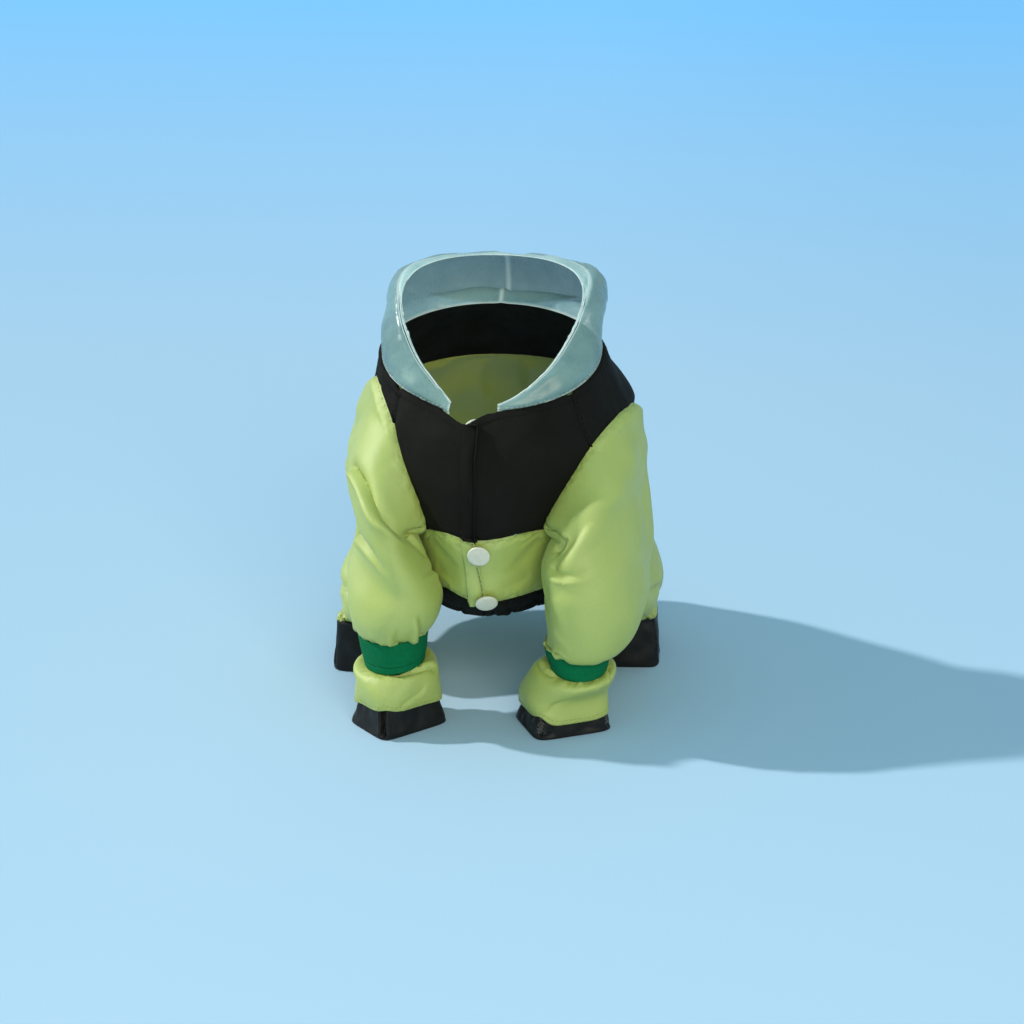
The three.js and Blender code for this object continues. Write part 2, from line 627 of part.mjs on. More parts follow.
function hoodPiece(name, turns, rises) {
  const grid = rises.map((rise) => turns.map((turn) => hoodPoint(turn, rise)));
  const base = drawnIn(grid);
  const rows = base.length;
  const columns = base[0].length;
  const outer = base.map((row, j) =>
    row.map((p, i) => {
      const across = base[j][Math.min(i + 1, columns - 1)].clone().sub(base[j][Math.max(i - 1, 0)]);
      const along = base[Math.min(j + 1, rows - 1)][i].clone().sub(base[Math.max(j - 1, 0)][i]);
      return p.clone().addScaledVector(across.cross(along).normalize(), FILM);
    }),
  );
  add(name, "film", solid(base, outer));
}

// ---------------------------------------------------------------- placket, hem and snaps

// The placket's free edge and its stitched edge, as turns at its top and its bottom.
const PLACKET_YOKE = { edge: [-9.2, -10], stitched: [-0.6, -0.8], down: [0.46, CHEST_SEAM_DOWN], steps: 7 };
const PLACKET_BELLY = {
  edge: [-11.5, -8], stitched: [-1.8, 6.4], down: [CHEST_SEAM_DOWN, LIME_END], steps: 2 * SIDE_STEPS,
};
const ON_PANEL = CLOTH + SEAM; // what lies on a panel starts here

function placket(name, look, { edge, stitched, down, steps }) {
  const line = ([top, bottom]) => spread([[top, down[0]], [bottom, down[1]]], steps);
  const across = (j) => spread([[edge[j], down[j]], [stitched[j], down[j]]], 2);
  const edges = { top: across(0), bottom: across(1), left: line(edge), right: line(stitched) };
  bodyPanel(name, look, edges, { lift: ON_PANEL + 0.1 });
}

// A snap's cap, turned from its profile, lift above the form. inside is one on the coat's inside.
function snap(name, turn, down, lift, inside = false) {
  const profile = [
    [0, 0],
    [SNAP_RADIUS * 0.9, 0],
    [SNAP_RADIUS, SNAP_HEIGHT * 0.35],
    [SNAP_RADIUS * 0.93, SNAP_HEIGHT * 0.75],
    [SNAP_RADIUS * 0.6, SNAP_HEIGHT],
    [0, SNAP_HEIGHT],
  ].map(([r, h]) => new THREE.Vector2(r, h));
  const normal = bodyNormal(turn, down).multiplyScalar(inside ? -1 : 1);
  const cap = new THREE.LatheGeometry(profile, 18);
  const mesh = new THREE.Mesh(cap, new THREE.MeshStandardMaterial(COLOURS.snap));
  mesh.name = name;
  mesh.quaternion.setFromUnitVectors(vec(0, 1, 0), normal);
  mesh.position.copy(bodyPoint(turn, down).addScaledVector(normal, lift));
  coat.add(mesh);
}

// ---------------------------------------------------------------- the coat

for (const [side, sign] of [["left", 1], ["right", -1]]) {
  const s = SEAMS[side];
  const yokeSteps = SHOULDER_STEPS + ARMHOLES[side].front.steps;
  bodyPanel(`front_yoke_${side}`, "black", {
    top: s.neck,
    bottom: s.chest,
    left: centreSeam(neckDown(centreTurn(0)), CHEST_SEAM_DOWN, yokeSteps),
    right: joined(s.shoulder, reversed(s.front)),
  });
  bodyPanel(`belly_${side}`, "lime", {
    top: joined(s.chest, reversed(s.bottom)),
    bottom: s.limeEnd,
    left: centreSeam(CHEST_SEAM_DOWN, LIME_END, SIDE_STEPS),
    right: s.side,
  });
  const hemTop = hemSeam(sign * HEM_BAND_TURN, s.limeEnd.length - 1);
  bodyPanel(`hem_${side}`, "black", {
    top: hemTop,
    bottom: spread([[centreTurn(HEM_END), HEM_END], [sign * HEM_BAND_TURN, HEM_END]], hemTop.length - 1),
    left: centreSeam(LIME_END, HEM_END, 1),
    right: spread([hemTop.at(-1), [sign * HEM_BAND_TURN, HEM_END]], 1),
  });
  sleeve(side);
  const band = BANDS[side].map((row) => WRIST_TURNS.map((turn) => ringPoint(row, turn)));
  const bandEnds = { first: allAlong(band[0], UP), last: allAlong(band[0], DOWN) };
  tube(`band_${side}`, "green", band, bandEnds, { wall: ELASTIC });
  gaiter(side);
  hindLeg(side);
}

const [yokeFrom, yokeTo] = [SEAMS.left.back[0], pastSpine(SEAMS.right.back)[0]];
const yokeBack = spread([yokeFrom, [180, 2.95], yokeTo], BACK_STEPS);
const yokeColumns = ARMHOLES.left.top.steps + BACK_STEPS + ARMHOLES.right.top.steps;
bodyPanel("back_yoke", "black", {
  top: neckSeam(SHOULDER_TURN, 360 - SHOULDER_TURN, yokeColumns),
  bottom: joined(SEAMS.left.top, yokeBack, pastSpine(reversed(SEAMS.right.top))),
  left: SEAMS.left.shoulder,
  right: pastSpine(SEAMS.right.shoulder),
});

const legAndRear = joined(
  SEAMS.left.leg,
  SEAMS.left.rear,
  pastSpine(reversed(SEAMS.right.rear)),
  pastSpine(reversed(SEAMS.right.leg)),
);
bodyPanel("back", "lime", {
  top: joined(reversed(SEAMS.left.back), yokeBack, pastSpine(SEAMS.right.back)),
  bottom: legAndRear,
  left: SEAMS.left.side,
  right: pastSpine(SEAMS.right.side),
});

for (const [name, size] of Object.entries(BOOTS)) {
  boot(name, size);
}

const rises = evenly(0, BRIM_FROM, HOOD_RISE_STEPS);
const hoodLeft = evenly(HOOD_FRONT.left, 180, HOOD_STEPS);
const hoodRight = evenly(180, 360 + HOOD_FRONT.right, HOOD_STEPS);
hoodPiece("hood_left", hoodLeft, rises);
hoodPiece("hood_right", hoodRight, rises);
hoodPiece("hood_brim", joined(hoodLeft, hoodRight), evenly(BRIM_FROM, 1, 1));

placket("placket_yoke", "black", PLACKET_YOKE);
placket("placket_belly", "lime", PLACKET_BELLY);
snap("snap_neck", -3, 0.56, SEAM + 0.2, true);
snap("snap_belly", 0.8, 4.32, 2 * ON_PANEL + 0.4);
snap("snap_hem", 4.6, 6.05, 2 * ON_PANEL + 0.4);

export default coat;
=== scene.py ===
"""A raincoat for a small dog, filled out as it is worn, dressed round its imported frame.

A black yoke goes round the shoulders above a lime body. Two front sleeves are gathered by green
bands into gaiters and black boots, and two hind legs end in deeper boots. A pale film hood lies
pushed back, and a snapped placket closes the front.

Tables are in millimetres, +Z up, with heights above the ground that the boots stand on. The coat
faces -Y, and +X is the wearer's left. Meshes are made in metres about the withers, where the
wearer holds the coat up.
"""

from __future__ import annotations

import logging
import math
from collections.abc import Callable, Sequence
from dataclasses import dataclass, field
from enum import Enum

import bpy
import numpy as np
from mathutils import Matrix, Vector

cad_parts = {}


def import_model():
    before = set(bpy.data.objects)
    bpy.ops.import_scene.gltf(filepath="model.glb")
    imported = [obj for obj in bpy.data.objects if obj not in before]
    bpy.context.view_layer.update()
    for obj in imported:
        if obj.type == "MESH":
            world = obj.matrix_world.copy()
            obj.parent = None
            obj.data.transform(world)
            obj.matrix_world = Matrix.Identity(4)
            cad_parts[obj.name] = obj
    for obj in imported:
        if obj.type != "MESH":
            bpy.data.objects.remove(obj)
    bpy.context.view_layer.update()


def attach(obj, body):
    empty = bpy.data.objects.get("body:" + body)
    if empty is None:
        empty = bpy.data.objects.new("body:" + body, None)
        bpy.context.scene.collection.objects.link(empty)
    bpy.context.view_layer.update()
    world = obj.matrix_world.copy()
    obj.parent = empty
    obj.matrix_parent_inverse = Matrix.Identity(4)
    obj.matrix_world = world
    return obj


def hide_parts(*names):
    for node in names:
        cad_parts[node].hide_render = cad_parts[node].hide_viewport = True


log = logging.getLogger("raincoat")

Array = np.ndarray
Colour = tuple[float, float, float]
Material = bpy.types.Material
Socket = bpy.types.NodeSocket
Places = Sequence[tuple[float, float]]

MM = 0.001
WITHERS = np.array([0.0, 85.6, 227.6])  # on the inside of the back yoke, behind the neck
GROUND = -WITHERS[2] * MM

CLOTH = 1.2  # wall of every woven panel
FILM = 0.6  # wall of the hood
ELASTIC = 1.8  # wall of the wrist bands
BOOT_WALL = 1.6
SOLE = 2.4
ON_PANEL = 1.6  # what lies on a panel starts here
FINE = 10  # mesh steps for each seam step that two panels share


class Side(Enum):
    """The wearer's own sides."""

    LEFT = 1
    RIGHT = -1

    @property
    def word(self) -> str:
        """The side's name in node names."""
        return self.name.lower()


class Border(Enum):
    """How one border of a piece of cloth ends."""

    SEWN = "sewn"  # drawn down into a seam, with small puckers
    HEMMED = "hemmed"  # turned under and stitched flat
    PLAIN = "plain"  # only rounded over


# ---- curves, tables and noise


def between(a: Array, b: Array, c: Array, d: Array, t: Array) -> Array:
    """The point at share t of the way from b to c, on the Catmull-Rom curve through all four."""
    slope_b, slope_c = (c - a) / 2, (d - b) / 2
    t2, t3 = t * t, t * t * t
    start = (2 * t3 - 3 * t2 + 1) * b + (t3 - 2 * t2 + t) * slope_b
    return start + (3 * t2 - 2 * t3) * c + (t3 - t2) * slope_c


def catmull(table: Array, places: Array) -> Array:
    """Reads a Catmull-Rom curve through the rows of a table.

    Args:
        table: One row for each station. A row may itself be a grid.
        places: Where to read, 0 to rows - 1, as a flat array.

    Returns:
        One row for each place.
    """
    last = len(table) - 1
    start = np.clip(np.floor(places).astype(int), 0, last - 1)
    t = (places - start).reshape((-1,) + (1,) * (table.ndim - 1))
    return between(*(table[np.clip(start + step, 0, last)] for step in (-1, 0, 1, 2)), t)


def spread(points: Sequence[Sequence[float]], steps: int) -> Array:
    """Spreads steps + 1 rows evenly along a curve through a short table."""
    table = np.array(points, float)
    return catmull(table, np.linspace(0, len(table) - 1, steps + 1))


def joined(*runs: Array) -> Array:
    """Joins runs of points end to end, each one starting where the last one stopped."""
    return np.concatenate([run if i == 0 else run[1:] for i, run in enumerate(runs)])


def past_spine(run: Array) -> Array:
    """The same run with its turns counted on past the spine."""
    return run + np.array([360.0, 0.0])


def length_to(points: Array) -> Array:
    """How far along a line of points each one lies."""
    return np.concatenate([[0], np.cumsum(np.linalg.norm(np.diff(points, axis=0), axis=1))])


def unit(vectors: Array) -> Array:
    """Vectors of length one."""
    return vectors / np.maximum(np.linalg.norm(vectors, axis=-1, keepdims=True), 1e-9)


def smooth_step(low: float, high: float, value: Array) -> Array:
    """0 below low, 1 above high, and a smooth rise between."""
    t = np.clip((value - low) / (high - low), 0, 1)
    return t * t * (3 - 2 * t)


def new_object(name: str, data: bpy.types.ID) -> bpy.types.Object:
    """Makes an object and links it into the scene."""
    obj = bpy.data.objects.new(name, data)
    bpy.context.scene.collection.objects.link(obj)
    return obj


def stand_for(obj: bpy.types.Object, node: str) -> None:
    """Declares that an object rides the coat and shows a node in its place."""
    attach(obj, "root")
    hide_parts(node)


def turned_faces(rings: int, count: int, first: int, bottom: int, top: int) -> list[tuple[int, ...]]:
    """Faces of a closed turned shape: bands between its rings, and a fan at each end.

    Args:
        rings: How many rings of vertices there are.
        count: How many vertices each one has.
        first: The number of the first ring's first vertex.
        bottom: The number of the vertex in the middle of the first ring.
        top: The number of the one in the middle of the last ring.

    Returns:
        Vertex numbers of each face.
    """
    faces: list[tuple[int, ...]] = []
    for j in range(rings - 1):
        for i in range(count):
            here, after = first + j * count + i, first + j * count + (i + 1) % count
            faces.append((here, after, after + count, here + count))
    last = first + (rings - 1) * count
    for i in range(count):
        after = (i + 1) % count
        faces.extend(((first + after, first + i, bottom), (last + i, last + after, top)))
    return faces


class Wander:
    """Smooth noise through space, the same on every run: waves in scattered directions."""

    def __init__(self, seed: int, wavelength: float, waves: int = 22) -> None:
        """Draws the waves.

        Args:
            seed: Fixes the waves.
            wavelength: The middle size of a wave, in millimetres.
            waves: How many there are.
        """
        draw = np.random.default_rng(seed)
        ways = unit(draw.normal(size=(waves, 3)))
        self.ways = ways * (2 * math.pi / (wavelength * draw.uniform(0.7, 1.6, waves)))[:, None]
        self.phases = draw.uniform(0, 2 * math.pi, waves)
        self.scale = math.sqrt(2 / waves)

    def at(self, points: Array) -> Array:
        """The noise at points, mostly between -2 and 2."""
        return np.sin(points @ self.ways.T + self.phases).sum(-1) * self.scale


# ---- cloth as a grid of points


CREASE_FALL = 2.0  # how fast a crease dies out to either side, against the fold's width
LIP_FALL = 2.6  # and how fast its lip does
LIP_PLACE = 0.9  # where the lip stands beside the path, in widths
END_REACH = 0.8  # how far a fold runs past the ends of its path, in widths
STITCHED_HEM = 4.2  # from a hemmed border to its line of stitches
STITCHED_SEAM = 1.6  # and from a sewn border
SEAM_OVERLAP = 0.02  # how far panels sewn together pass into each other
LEAST = 1e-3


@dataclass(frozen=True)
class Fold:
    """A fold: a trough along a path, with a lip of cloth standing beside it."""

    path: Places  # places on the piece that it lies on
    width: float
    depth: float
    lip: float  # the lip's height as a share of the depth
    side: float  # which side of the path the lip stands on
    sharp: float  # less is a sharper crease
    ends: tuple[float, float] = (0.05, 0.6)  # shares of the length over which it fades in and out


@dataclass
class Cloth:
    """A piece of cloth: a grid of points on its inner face, rows down it and columns across."""

    name: str
    points: Array
    place: Callable[[Array], Array]  # from places on the piece to points
    heart: Array | None = None  # a point on the inner side, or None for the middle of the grid
    wall: float = CLOTH
    wraps: bool = False
    borders: dict[str, Border] = field(default_factory=dict)
    smooth_area: float = 0.0
    flat: tuple[float, float] = (0.0, 0.0)

    def __post_init__(self) -> None:
        """Notes the cut size at the middle of the wall, rims included, before any fold is laid."""
        inner = self.points
        self.points = inner + self.normals() * self.wall / 2
        across, down = self.runs()
        width, length = float(across[:, -1].max()), float(down[-1].max())
        rims = (1 + self.wall / length) * (1 if self.wraps else 1 + self.wall / width)
        self.flat = (width + (0 if self.wraps else self.wall), length + self.wall)
        self.smooth_area = self.area() * rims
        self.points = inner

    def closed(self) -> Array:
        """The grid, with its first column again at the end if it wraps."""
        return np.concatenate([self.points, self.points[:, :1]], 1) if self.wraps else self.points

    def runs(self) -> tuple[Array, Array]:
        """How far each point of the closed grid lies across its row and down its column, in mm."""
        grid = self.closed()
        across = np.zeros(grid.shape[:2])
        down = np.zeros(grid.shape[:2])
        across[:, 1:] = np.cumsum(np.linalg.norm(np.diff(grid, axis=1), axis=2), 1)
        down[1:] = np.cumsum(np.linalg.norm(np.diff(grid, axis=0), axis=2), 0)
        return across, down

    def area(self) -> float:
        """The area of one face, in square millimetres."""
        grid = self.closed()
        one = grid[1:, 1:] - grid[:-1, :-1]
        two = grid[1:, :-1] - grid[:-1, 1:]
        return float(np.linalg.norm(np.cross(one, two), axis=2).sum() / 2)

    def normals(self) -> Array:
        """Outward normals at the grid's points."""
        if self.wraps:
            across = np.roll(self.points, -1, 1) - np.roll(self.points, 1, 1)
        else:
            across = np.gradient(self.points, axis=1)
        normals = unit(np.cross(np.gradient(self.points, axis=0), across))
        heart = self.points.mean((0, 1)) if self.heart is None else self.heart
        return normals * np.sign((normals * (self.points - heart)).sum())

    def push(self, heights: Array) -> None:
        """Moves the points out along their normals."""
        self.points = self.points + self.normals() * heights[..., None]

    def to_border(self, border: str) -> Array:
        """How far each point is from the top, bottom, left or right border, in millimetres."""
        across, down = self.runs()
        columns = self.points.shape[1]
        across, down = across[:, :columns], down[:, :columns]
        return {
            "top": down,
            "bottom": down[-1] - down,
            "left": across,
            "right": across[:, -1:] - across,
        }[border]

    def beside(self, border: str, distance: float) -> tuple[Array, Array]:
        """A line over the outer face, beside a border.

        Args:
            border: The border that it follows.
            distance: How far from the border it runs, in millimetres.

        Returns:
            The line's points, and the cloth's normals there.
        """
        normals = self.normals()
        outer = self.points + normals * (self.wall + 0.06)
        away = self.to_border(border)
        if border in ("left", "right"):
            outer, normals, away = outer.swapaxes(0, 1), normals.swapaxes(0, 1), away.T
        if border in ("bottom", "right"):
            outer, normals, away = outer[::-1], normals[::-1], away[::-1]
        row = np.clip((away < distance).sum(0) - 1, 0, len(away) - 2)
        line = np.arange(away.shape[1])
        before, after = away[row, line], away[row + 1, line]
        t = np.clip((distance - before) / np.maximum(after - before, 1e-6), 0, 1)[:, None]
        points = outer[row, line] * (1 - t) + outer[row + 1, line] * t
        facing = unit(normals[row, line] * (1 - t) + normals[row + 1, line] * t)
        if self.wraps:
            points, facing = (np.concatenate([part, part[:1]]) for part in (points, facing))
        return points, facing

    def lay(self, *folds: Fold) -> None:
        """Presses folds into the cloth, one after another."""
        for fold in folds:
            self.push(self.fold_heights(fold))

    def fold_heights(self, fold: Fold) -> Array:
        """How far a fold moves each point in or out.

        Args:
            fold: The fold to measure.

        Returns:
            Heights in millimetres, one for each point of the grid.
        """
        line = self.place(spread(fold.path, 70))
        ways = unit(np.gradient(line, axis=0))
        flat = self.points.reshape(-1, 3)
        squares = (flat**2).sum(1)[:, None] - 2 * flat @ line.T + (line**2).sum(1)
        nearest = squares.argmin(1)
        off = flat - line[nearest]
        off_along = (off * ways[nearest]).sum(1, keepdims=True) * ways[nearest]
        past_end = np.linalg.norm(off_along, axis=1)
        distance = np.sqrt(np.maximum(squares[np.arange(len(flat)), nearest], 0))
        beside = np.cross(self.normals().reshape(-1, 3), ways[nearest])
        x = distance * np.sign((off * beside).sum(1)) / fold.width
        crease = np.exp(-CREASE_FALL * (np.sqrt(x * x + fold.sharp**2) - fold.sharp))
        past = x * fold.side - LIP_PLACE
        lip = np.exp(-LIP_FALL * (np.sqrt(past * past + fold.sharp**2 / 4) - fold.sharp / 2))
        along = nearest / (len(line) - 1)
        fade_in, fade_out = (max(end, LEAST) for end in fold.ends)
        fade = smooth_step(0, fade_in, along + LEAST) * smooth_step(0, fade_out, 1 - along + LEAST)
        fade *= np.exp(-((past_end / (END_REACH * fold.width)) ** 2))
        return (fold.depth * fade * (fold.lip * lip - crease)).reshape(self.points.shape[:2])

    def pucker(self, seed: int, dip: float = 0.55, reach: float = 2.6, height: float = 0.32) -> None:
        """Draws sewn borders down into their seams, with uneven puckers, and turns hems under.

        Args:
            seed: Fixes the puckers.
            dip: How deep a sewn border is drawn in.
            reach: How far that can be seen from the seam.
            height: How high the puckers stand.
        """
        ripple = Wander(seed, 5.5).at(self.points) + 0.6 * Wander(seed + 1, 2.6).at(self.points)
        heights = np.zeros(self.points.shape[:2])
        for name, border in self.borders.items():
            away = self.to_border(name)
            if border is Border.SEWN:
                heights -= dip * np.exp(-((away / reach) ** 2))
                heights += height * ripple * np.exp(-away / (1.6 * reach)) * smooth_step(0, 1.2, away)
            elif border is Border.HEMMED:
                turned = smooth_step(5.4, 4.6, away)
                from_stitches = away - STITCHED_HEM
                heights += 0.35 * turned - 0.3 * np.exp(-((from_stitches / 0.5) ** 2))
                heights += 0.5 * height * ripple * np.exp(-((from_stitches / 2.5) ** 2))
        self.push(heights)

    def crumple(self, seed: int, wavelength: float, height: float) -> None:
        """Raises gentle uneven waves all over the cloth, less towards its borders."""
        calm = np.ones(self.points.shape[:2])
        for name in self.borders:
            calm *= smooth_step(0, 6, self.to_border(name))
        self.push(height * calm * Wander(seed, wavelength).at(self.points))

    def seam_nearness(self) -> Array:
        """1 on the borders, falling to 0 a few millimetres away."""
        near = np.zeros(self.points.shape[:2])
        for name in self.borders:
            near = np.maximum(near, np.exp(-self.to_border(name) / 2.2))
        return near

    def build(self, material: Material) -> bpy.types.Object:
        """Makes the closed cloth solid, with rounded rims, as a mesh object.

        Args:
            material: The finish on both faces.

        Returns:
            The new object, with a map in metres across and along the cloth.
        """
        rows, columns = self.points.shape[:2]
        normals = self.normals()
        across, down = self.runs()
        count = rows * columns
        at = np.arange(count).reshape(rows, columns)
        flat_map = np.stack([across, down], 2) * MM
        wide = np.concatenate([at, at[:, :1]], 1) if self.wraps else at
        quads, maps = [], []

        def strip(ids_one: Array, ids_two: Array, map_one: Array, map_two: Array) -> None:
            """Joins two rows of vertices with faces."""
            quads.append(np.stack([ids_one[:-1], ids_one[1:], ids_two[1:], ids_two[:-1]], 1))
            maps.append(np.stack([map_one[:-1], map_one[1:], map_two[1:], map_two[:-1]], 1))

        for j in range(rows - 1):
            strip(wide[j], wide[j + 1], flat_map[j], flat_map[j + 1])
            strip(wide[j + 1] + count, wide[j] + count, flat_map[j + 1], flat_map[j])
        points = [self.points.reshape(-1, 3), (self.points + normals * self.wall).reshape(-1, 3)]
        near = [self.seam_nearness().ravel()] * 2
        used = 2 * count
        for rows_at, columns_at in self.rims():
            base = self.points[rows_at, columns_at]
            inner_rows = np.clip(rows_at, 1, rows - 2)
            inner_columns = columns_at if self.wraps else np.clip(columns_at, 1, columns - 2)
            out = unit(base - self.points[inner_rows, inner_columns])
            normal = normals[rows_at, columns_at]
            length = len(base)
            rim_map = flat_map[rows_at, columns_at]
            closed_map = np.concatenate([rim_map, rim_map[:1]])
            ids = [at[rows_at, columns_at]]
            for angle in (45, 90, 135):
                turn = math.radians(angle)
                rise, reach = self.wall * (1 - math.cos(turn)) / 2, self.wall * math.sin(turn) / 2
                points.append(base + normal * rise + out * reach)
                near.append(np.ones(length))
                ids.append(np.arange(used, used + length))
                used += length
            ids.append(at[rows_at, columns_at] + count)
            for one, two in zip(ids, ids[1:]):
                strip(np.append(two, two[0]), np.append(one, one[0]), closed_map, closed_map)
        return mesh_object(
            self.name,
            np.concatenate(points),
            np.concatenate(quads),
            material,
            flat_map=np.concatenate(maps),
            seam=np.concatenate(near),
        )

    def rims(self) -> list[tuple[Array, Array]]:
        """The closed loops of border points, as row and column numbers."""
        rows, columns = self.points.shape[:2]
        j, i = np.arange(rows), np.arange(columns)
        if self.wraps:
            return [(np.zeros(columns, int), i), (np.full(columns, rows - 1), i[::-1])]
        top, bottom = np.zeros(columns - 1, int), np.full(columns - 1, rows - 1)
        left, right = np.zeros(rows - 1, int), np.full(rows - 1, columns - 1)
        loop_rows = np.concatenate([top, j[:-1], bottom, j[:0:-1]])
        return [(loop_rows, np.concatenate([i[:-1], right, i[:0:-1], left]))]


def mesh_object(
    name: str,
    points: Array,
    faces: Array | Sequence[Sequence[int]],
    material: Material,
    flat_map: Array | None = None,
    seam: Array | None = None,
) -> bpy.types.Object:
    """Makes a smooth mesh object in metres about the withers, with its faces outward.

    Args:
        name: The piece's name.
        points: Vertices in millimetres above the ground.
        faces: Vertex numbers of each face.
        material: The piece's finish.
        flat_map: A place on the flat cloth for each corner of each face, in metres.
        seam: How near each vertex is to a seam, 0 to 1.

    Returns:
        The new object, linked into the scene.
    """
    faces = [list(map(int, face)) for face in faces]
    volume = 0.0
    for k in (1, 2):
        corners = np.array([[face[0], face[k], face[min(k + 1, len(face) - 1)]] for face in faces])
        a, b, c = points[corners[:, 0]], points[corners[:, 1]], points[corners[:, 2]]
        volume += float((a * np.cross(b, c)).sum())
    mesh = bpy.data.meshes.new(name)
    mesh.from_pydata(((points - WITHERS) * MM).tolist(), [], faces)
    if flat_map is not None:
        layer = mesh.uv_layers.new(name="cloth")
        layer.data.foreach_set("uv", flat_map.reshape(-1).astype(np.float32))
    if seam is not None:
        mesh.attributes.new("seam", "FLOAT", "POINT").data.foreach_set("value", seam.astype(np.float32))
    if volume < 0:
        mesh.flip_normals()
    mesh.shade_smooth()
    mesh.materials.append(material)
    return new_object(name, mesh)


# ---- the form that the coat covers


class Form:
    """The body's form as closed rings, from the neckline down to the seat.

    A place on it is a turn, 0 at the breast, 90 at the wearer's left and 180 at the spine, and a
    count of rings down from the neckline.
    """

    RINGS = np.array([
        # frontY frontZ side shift sideY sideZ backY backZ narrow
        [-25, 194.5, 66.5, 0, 27, 216, 77, 232, 0.0],  # neck
        [-38, 177, 73, 2, 28, 195, 97, 221, 0.1],  # shoulder
        [-46, 157, 82, 3, 34, 175, 119, 204, 0.22],  # upper chest
        [-49, 138, 83, 3, 44, 155, 139, 181, 0.32],  # chest
        [-48.5, 122, 82, 3, 56, 134, 155, 158, 0.4],  # chest seam
        [-43, 101, 82, 2, 70, 111, 171, 129, 0.46],  # belly
        [-39.5, 84.5, 84, 2, 80, 90, 182, 99, 0.48],  # waist
        [-23, 68, 86, 1, 86, 71, 188, 74, 0.45],  # hem
        [0, 54, 87, 0, 94, 49, 190, 48, 0.3],  # rump
    ])
    HEART = np.array([0.0, 60.0, 130.0])
    EASE = 0.6  # over how many millimetres a push outwards sets in
    FAR = 4.0  # points that stand this much higher than the gap stay as they are
    BATCH = 4000  # points looked up at a time

    def __init__(self) -> None:
        """Spreads places over the form, to look up the one nearest a point."""
        turns, downs = np.meshgrid(np.arange(-180, 180, 3.0), np.arange(0, 8.01, 0.12))
        self.places = np.stack([turns.ravel(), downs.ravel()], 1)
        self.spots = self.point(self.places)
        self.facing = self.normal(self.places)

    def point(self, places: Array) -> Array:
        """Points of the form at places given as rows of turn and down."""
        shape = places.shape[:-1]
        turn, down = places.reshape(-1, 2).T
        row = catmull(self.RINGS, down)
        front_y, front_z, side, shift, side_y, side_z, back_y, back_z, narrow = row.T
        cos, sin = np.cos(np.radians(turn)), np.sin(np.radians(turn))
        x = side * sin * (1 - narrow * np.maximum(cos, 0)) + shift * sin * sin
        end_y, end_z = np.where(cos > 0, front_y, back_y), np.where(cos > 0, front_z, back_z)
        share = np.abs(cos)
        y, z = side_y + (end_y - side_y) * share, side_z + (end_z - side_z) * share
        return np.stack([x, y, z], 1).reshape(*shape, 3)

    def normal(self, places: Array) -> Array:
        """Outward normals of the form at places given as rows of turn and down."""
        turn_step, down_step = np.array([0.5, 0.0]), np.array([0.0, 0.01])
        higher = places - down_step
        higher[..., 1] = np.maximum(higher[..., 1], 0)
        across = self.point(places + turn_step) - self.point(places - turn_step)
        along = self.point(places + down_step) - self.point(higher)
        return unit(np.cross(along, across))

    def lift(self, places: Array, height: float) -> Array:
        """Points a height above the form."""
        return self.point(places) + self.normal(places) * height

    def clear(self, points: Array, gap: Array) -> Array:
        """Moves points out where they come nearer the form than a gap, or inside it.

        Args:
            points: Points of any shape of array.
            gap: The least height above the form, one for each point.

        Returns:
            The points, moved.
        """
        flat, gaps = points.reshape(-1, 3), np.broadcast_to(gap, points.shape[:-1]).ravel()
        moved = flat.copy()
        size = (self.spots**2).sum(1)
        for start in range(0, len(flat), self.BATCH):
            batch = slice(start, start + self.BATCH)
            part = flat[batch]
            near = (size - 2 * part @ self.spots.T).argmin(1)
            facing = self.facing[near]
            height = ((part - self.spots[near]) * facing).sum(1)
            need = gaps[batch] - height
            need = np.where(need > -self.FAR, np.logaddexp(0, need / self.EASE) * self.EASE, 0)
            moved[batch] += facing * need[:, None]
        return moved.reshape(points.shape)


FORM = Form()

# ---- seams drawn on the form


@dataclass(frozen=True)
class Run:
    """A seam as a few places on the form, and the steps that both its panels share."""

    steps: int
    points: Places

    def places(self) -> Array:
        """Fine places along the seam."""
        return spread(self.points, self.steps * FINE)


# How far down each seam lies, counted in rings.
CHEST_SEAM_DOWN = 3.93
LIME_END = 6.3  # the black hem's seam, at the placket
HEM_CORNER = 6.5  # and at the hind legs
HEM_END = 7.2
# Turns from the breast, the same on both sides.
HEM_TURN = 64.0  # where the hind leg starts
HEM_BAND_TURN = 59.0  # where the hem's band stops
SHOULDER_TURN = 49.0  # the seam from the neckline to the armhole
# Steps along the seams that two panels share.
CHEST_STEPS = 5
HEM_STEPS = 11
BACK_STEPS = 12

ARMHOLES = {
    Side.LEFT: {
        "front": Run(6, ((38.5, 4.05), (40.6, 3.4), (45.7, 2.65), (51, 2.1), (56.5, 1.78))),
        "top": Run(7, ((56.5, 1.78), (66, 1.55), (80, 1.5), (94, 1.75), (106, 2.45))),
        "back": Run(5, ((106, 2.45), (106, 3.5), (92, 4.5))),
        "bottom": Run(6, ((92, 4.5), (74, 5.05), (52, 4.85), (38.5, 4.05))),
    },
    Side.RIGHT: {
        "front": Run(6, ((-37.2, 4.15), (-37.8, 3.3), (-41, 2.5), (-45, 1.85), (-52, 1.15))),
        "top": Run(7, ((-52, 1.15), (-63, 0.75), (-78, 0.6), (-94, 1.1), (-106, 2.3))),
        "back": Run(5, ((-106, 2.3), (-106, 3.4), (-92, 4.5))),
        "bottom": Run(6, ((-92, 4.5), (-74, 5.05), (-52, 4.85), (-37.2, 4.15))),
    },
}
# The neckline's dip, as turn and down, into a notch where the placket's edge meets it.
NECKLINE = np.array(
    [[-60, 0.02], [-36, 0.04], [-22, 0.14], [-12, 0.42], [-8, 0.5], [-4, 0.36], [3, 0.12], [12, 0.02]]
)
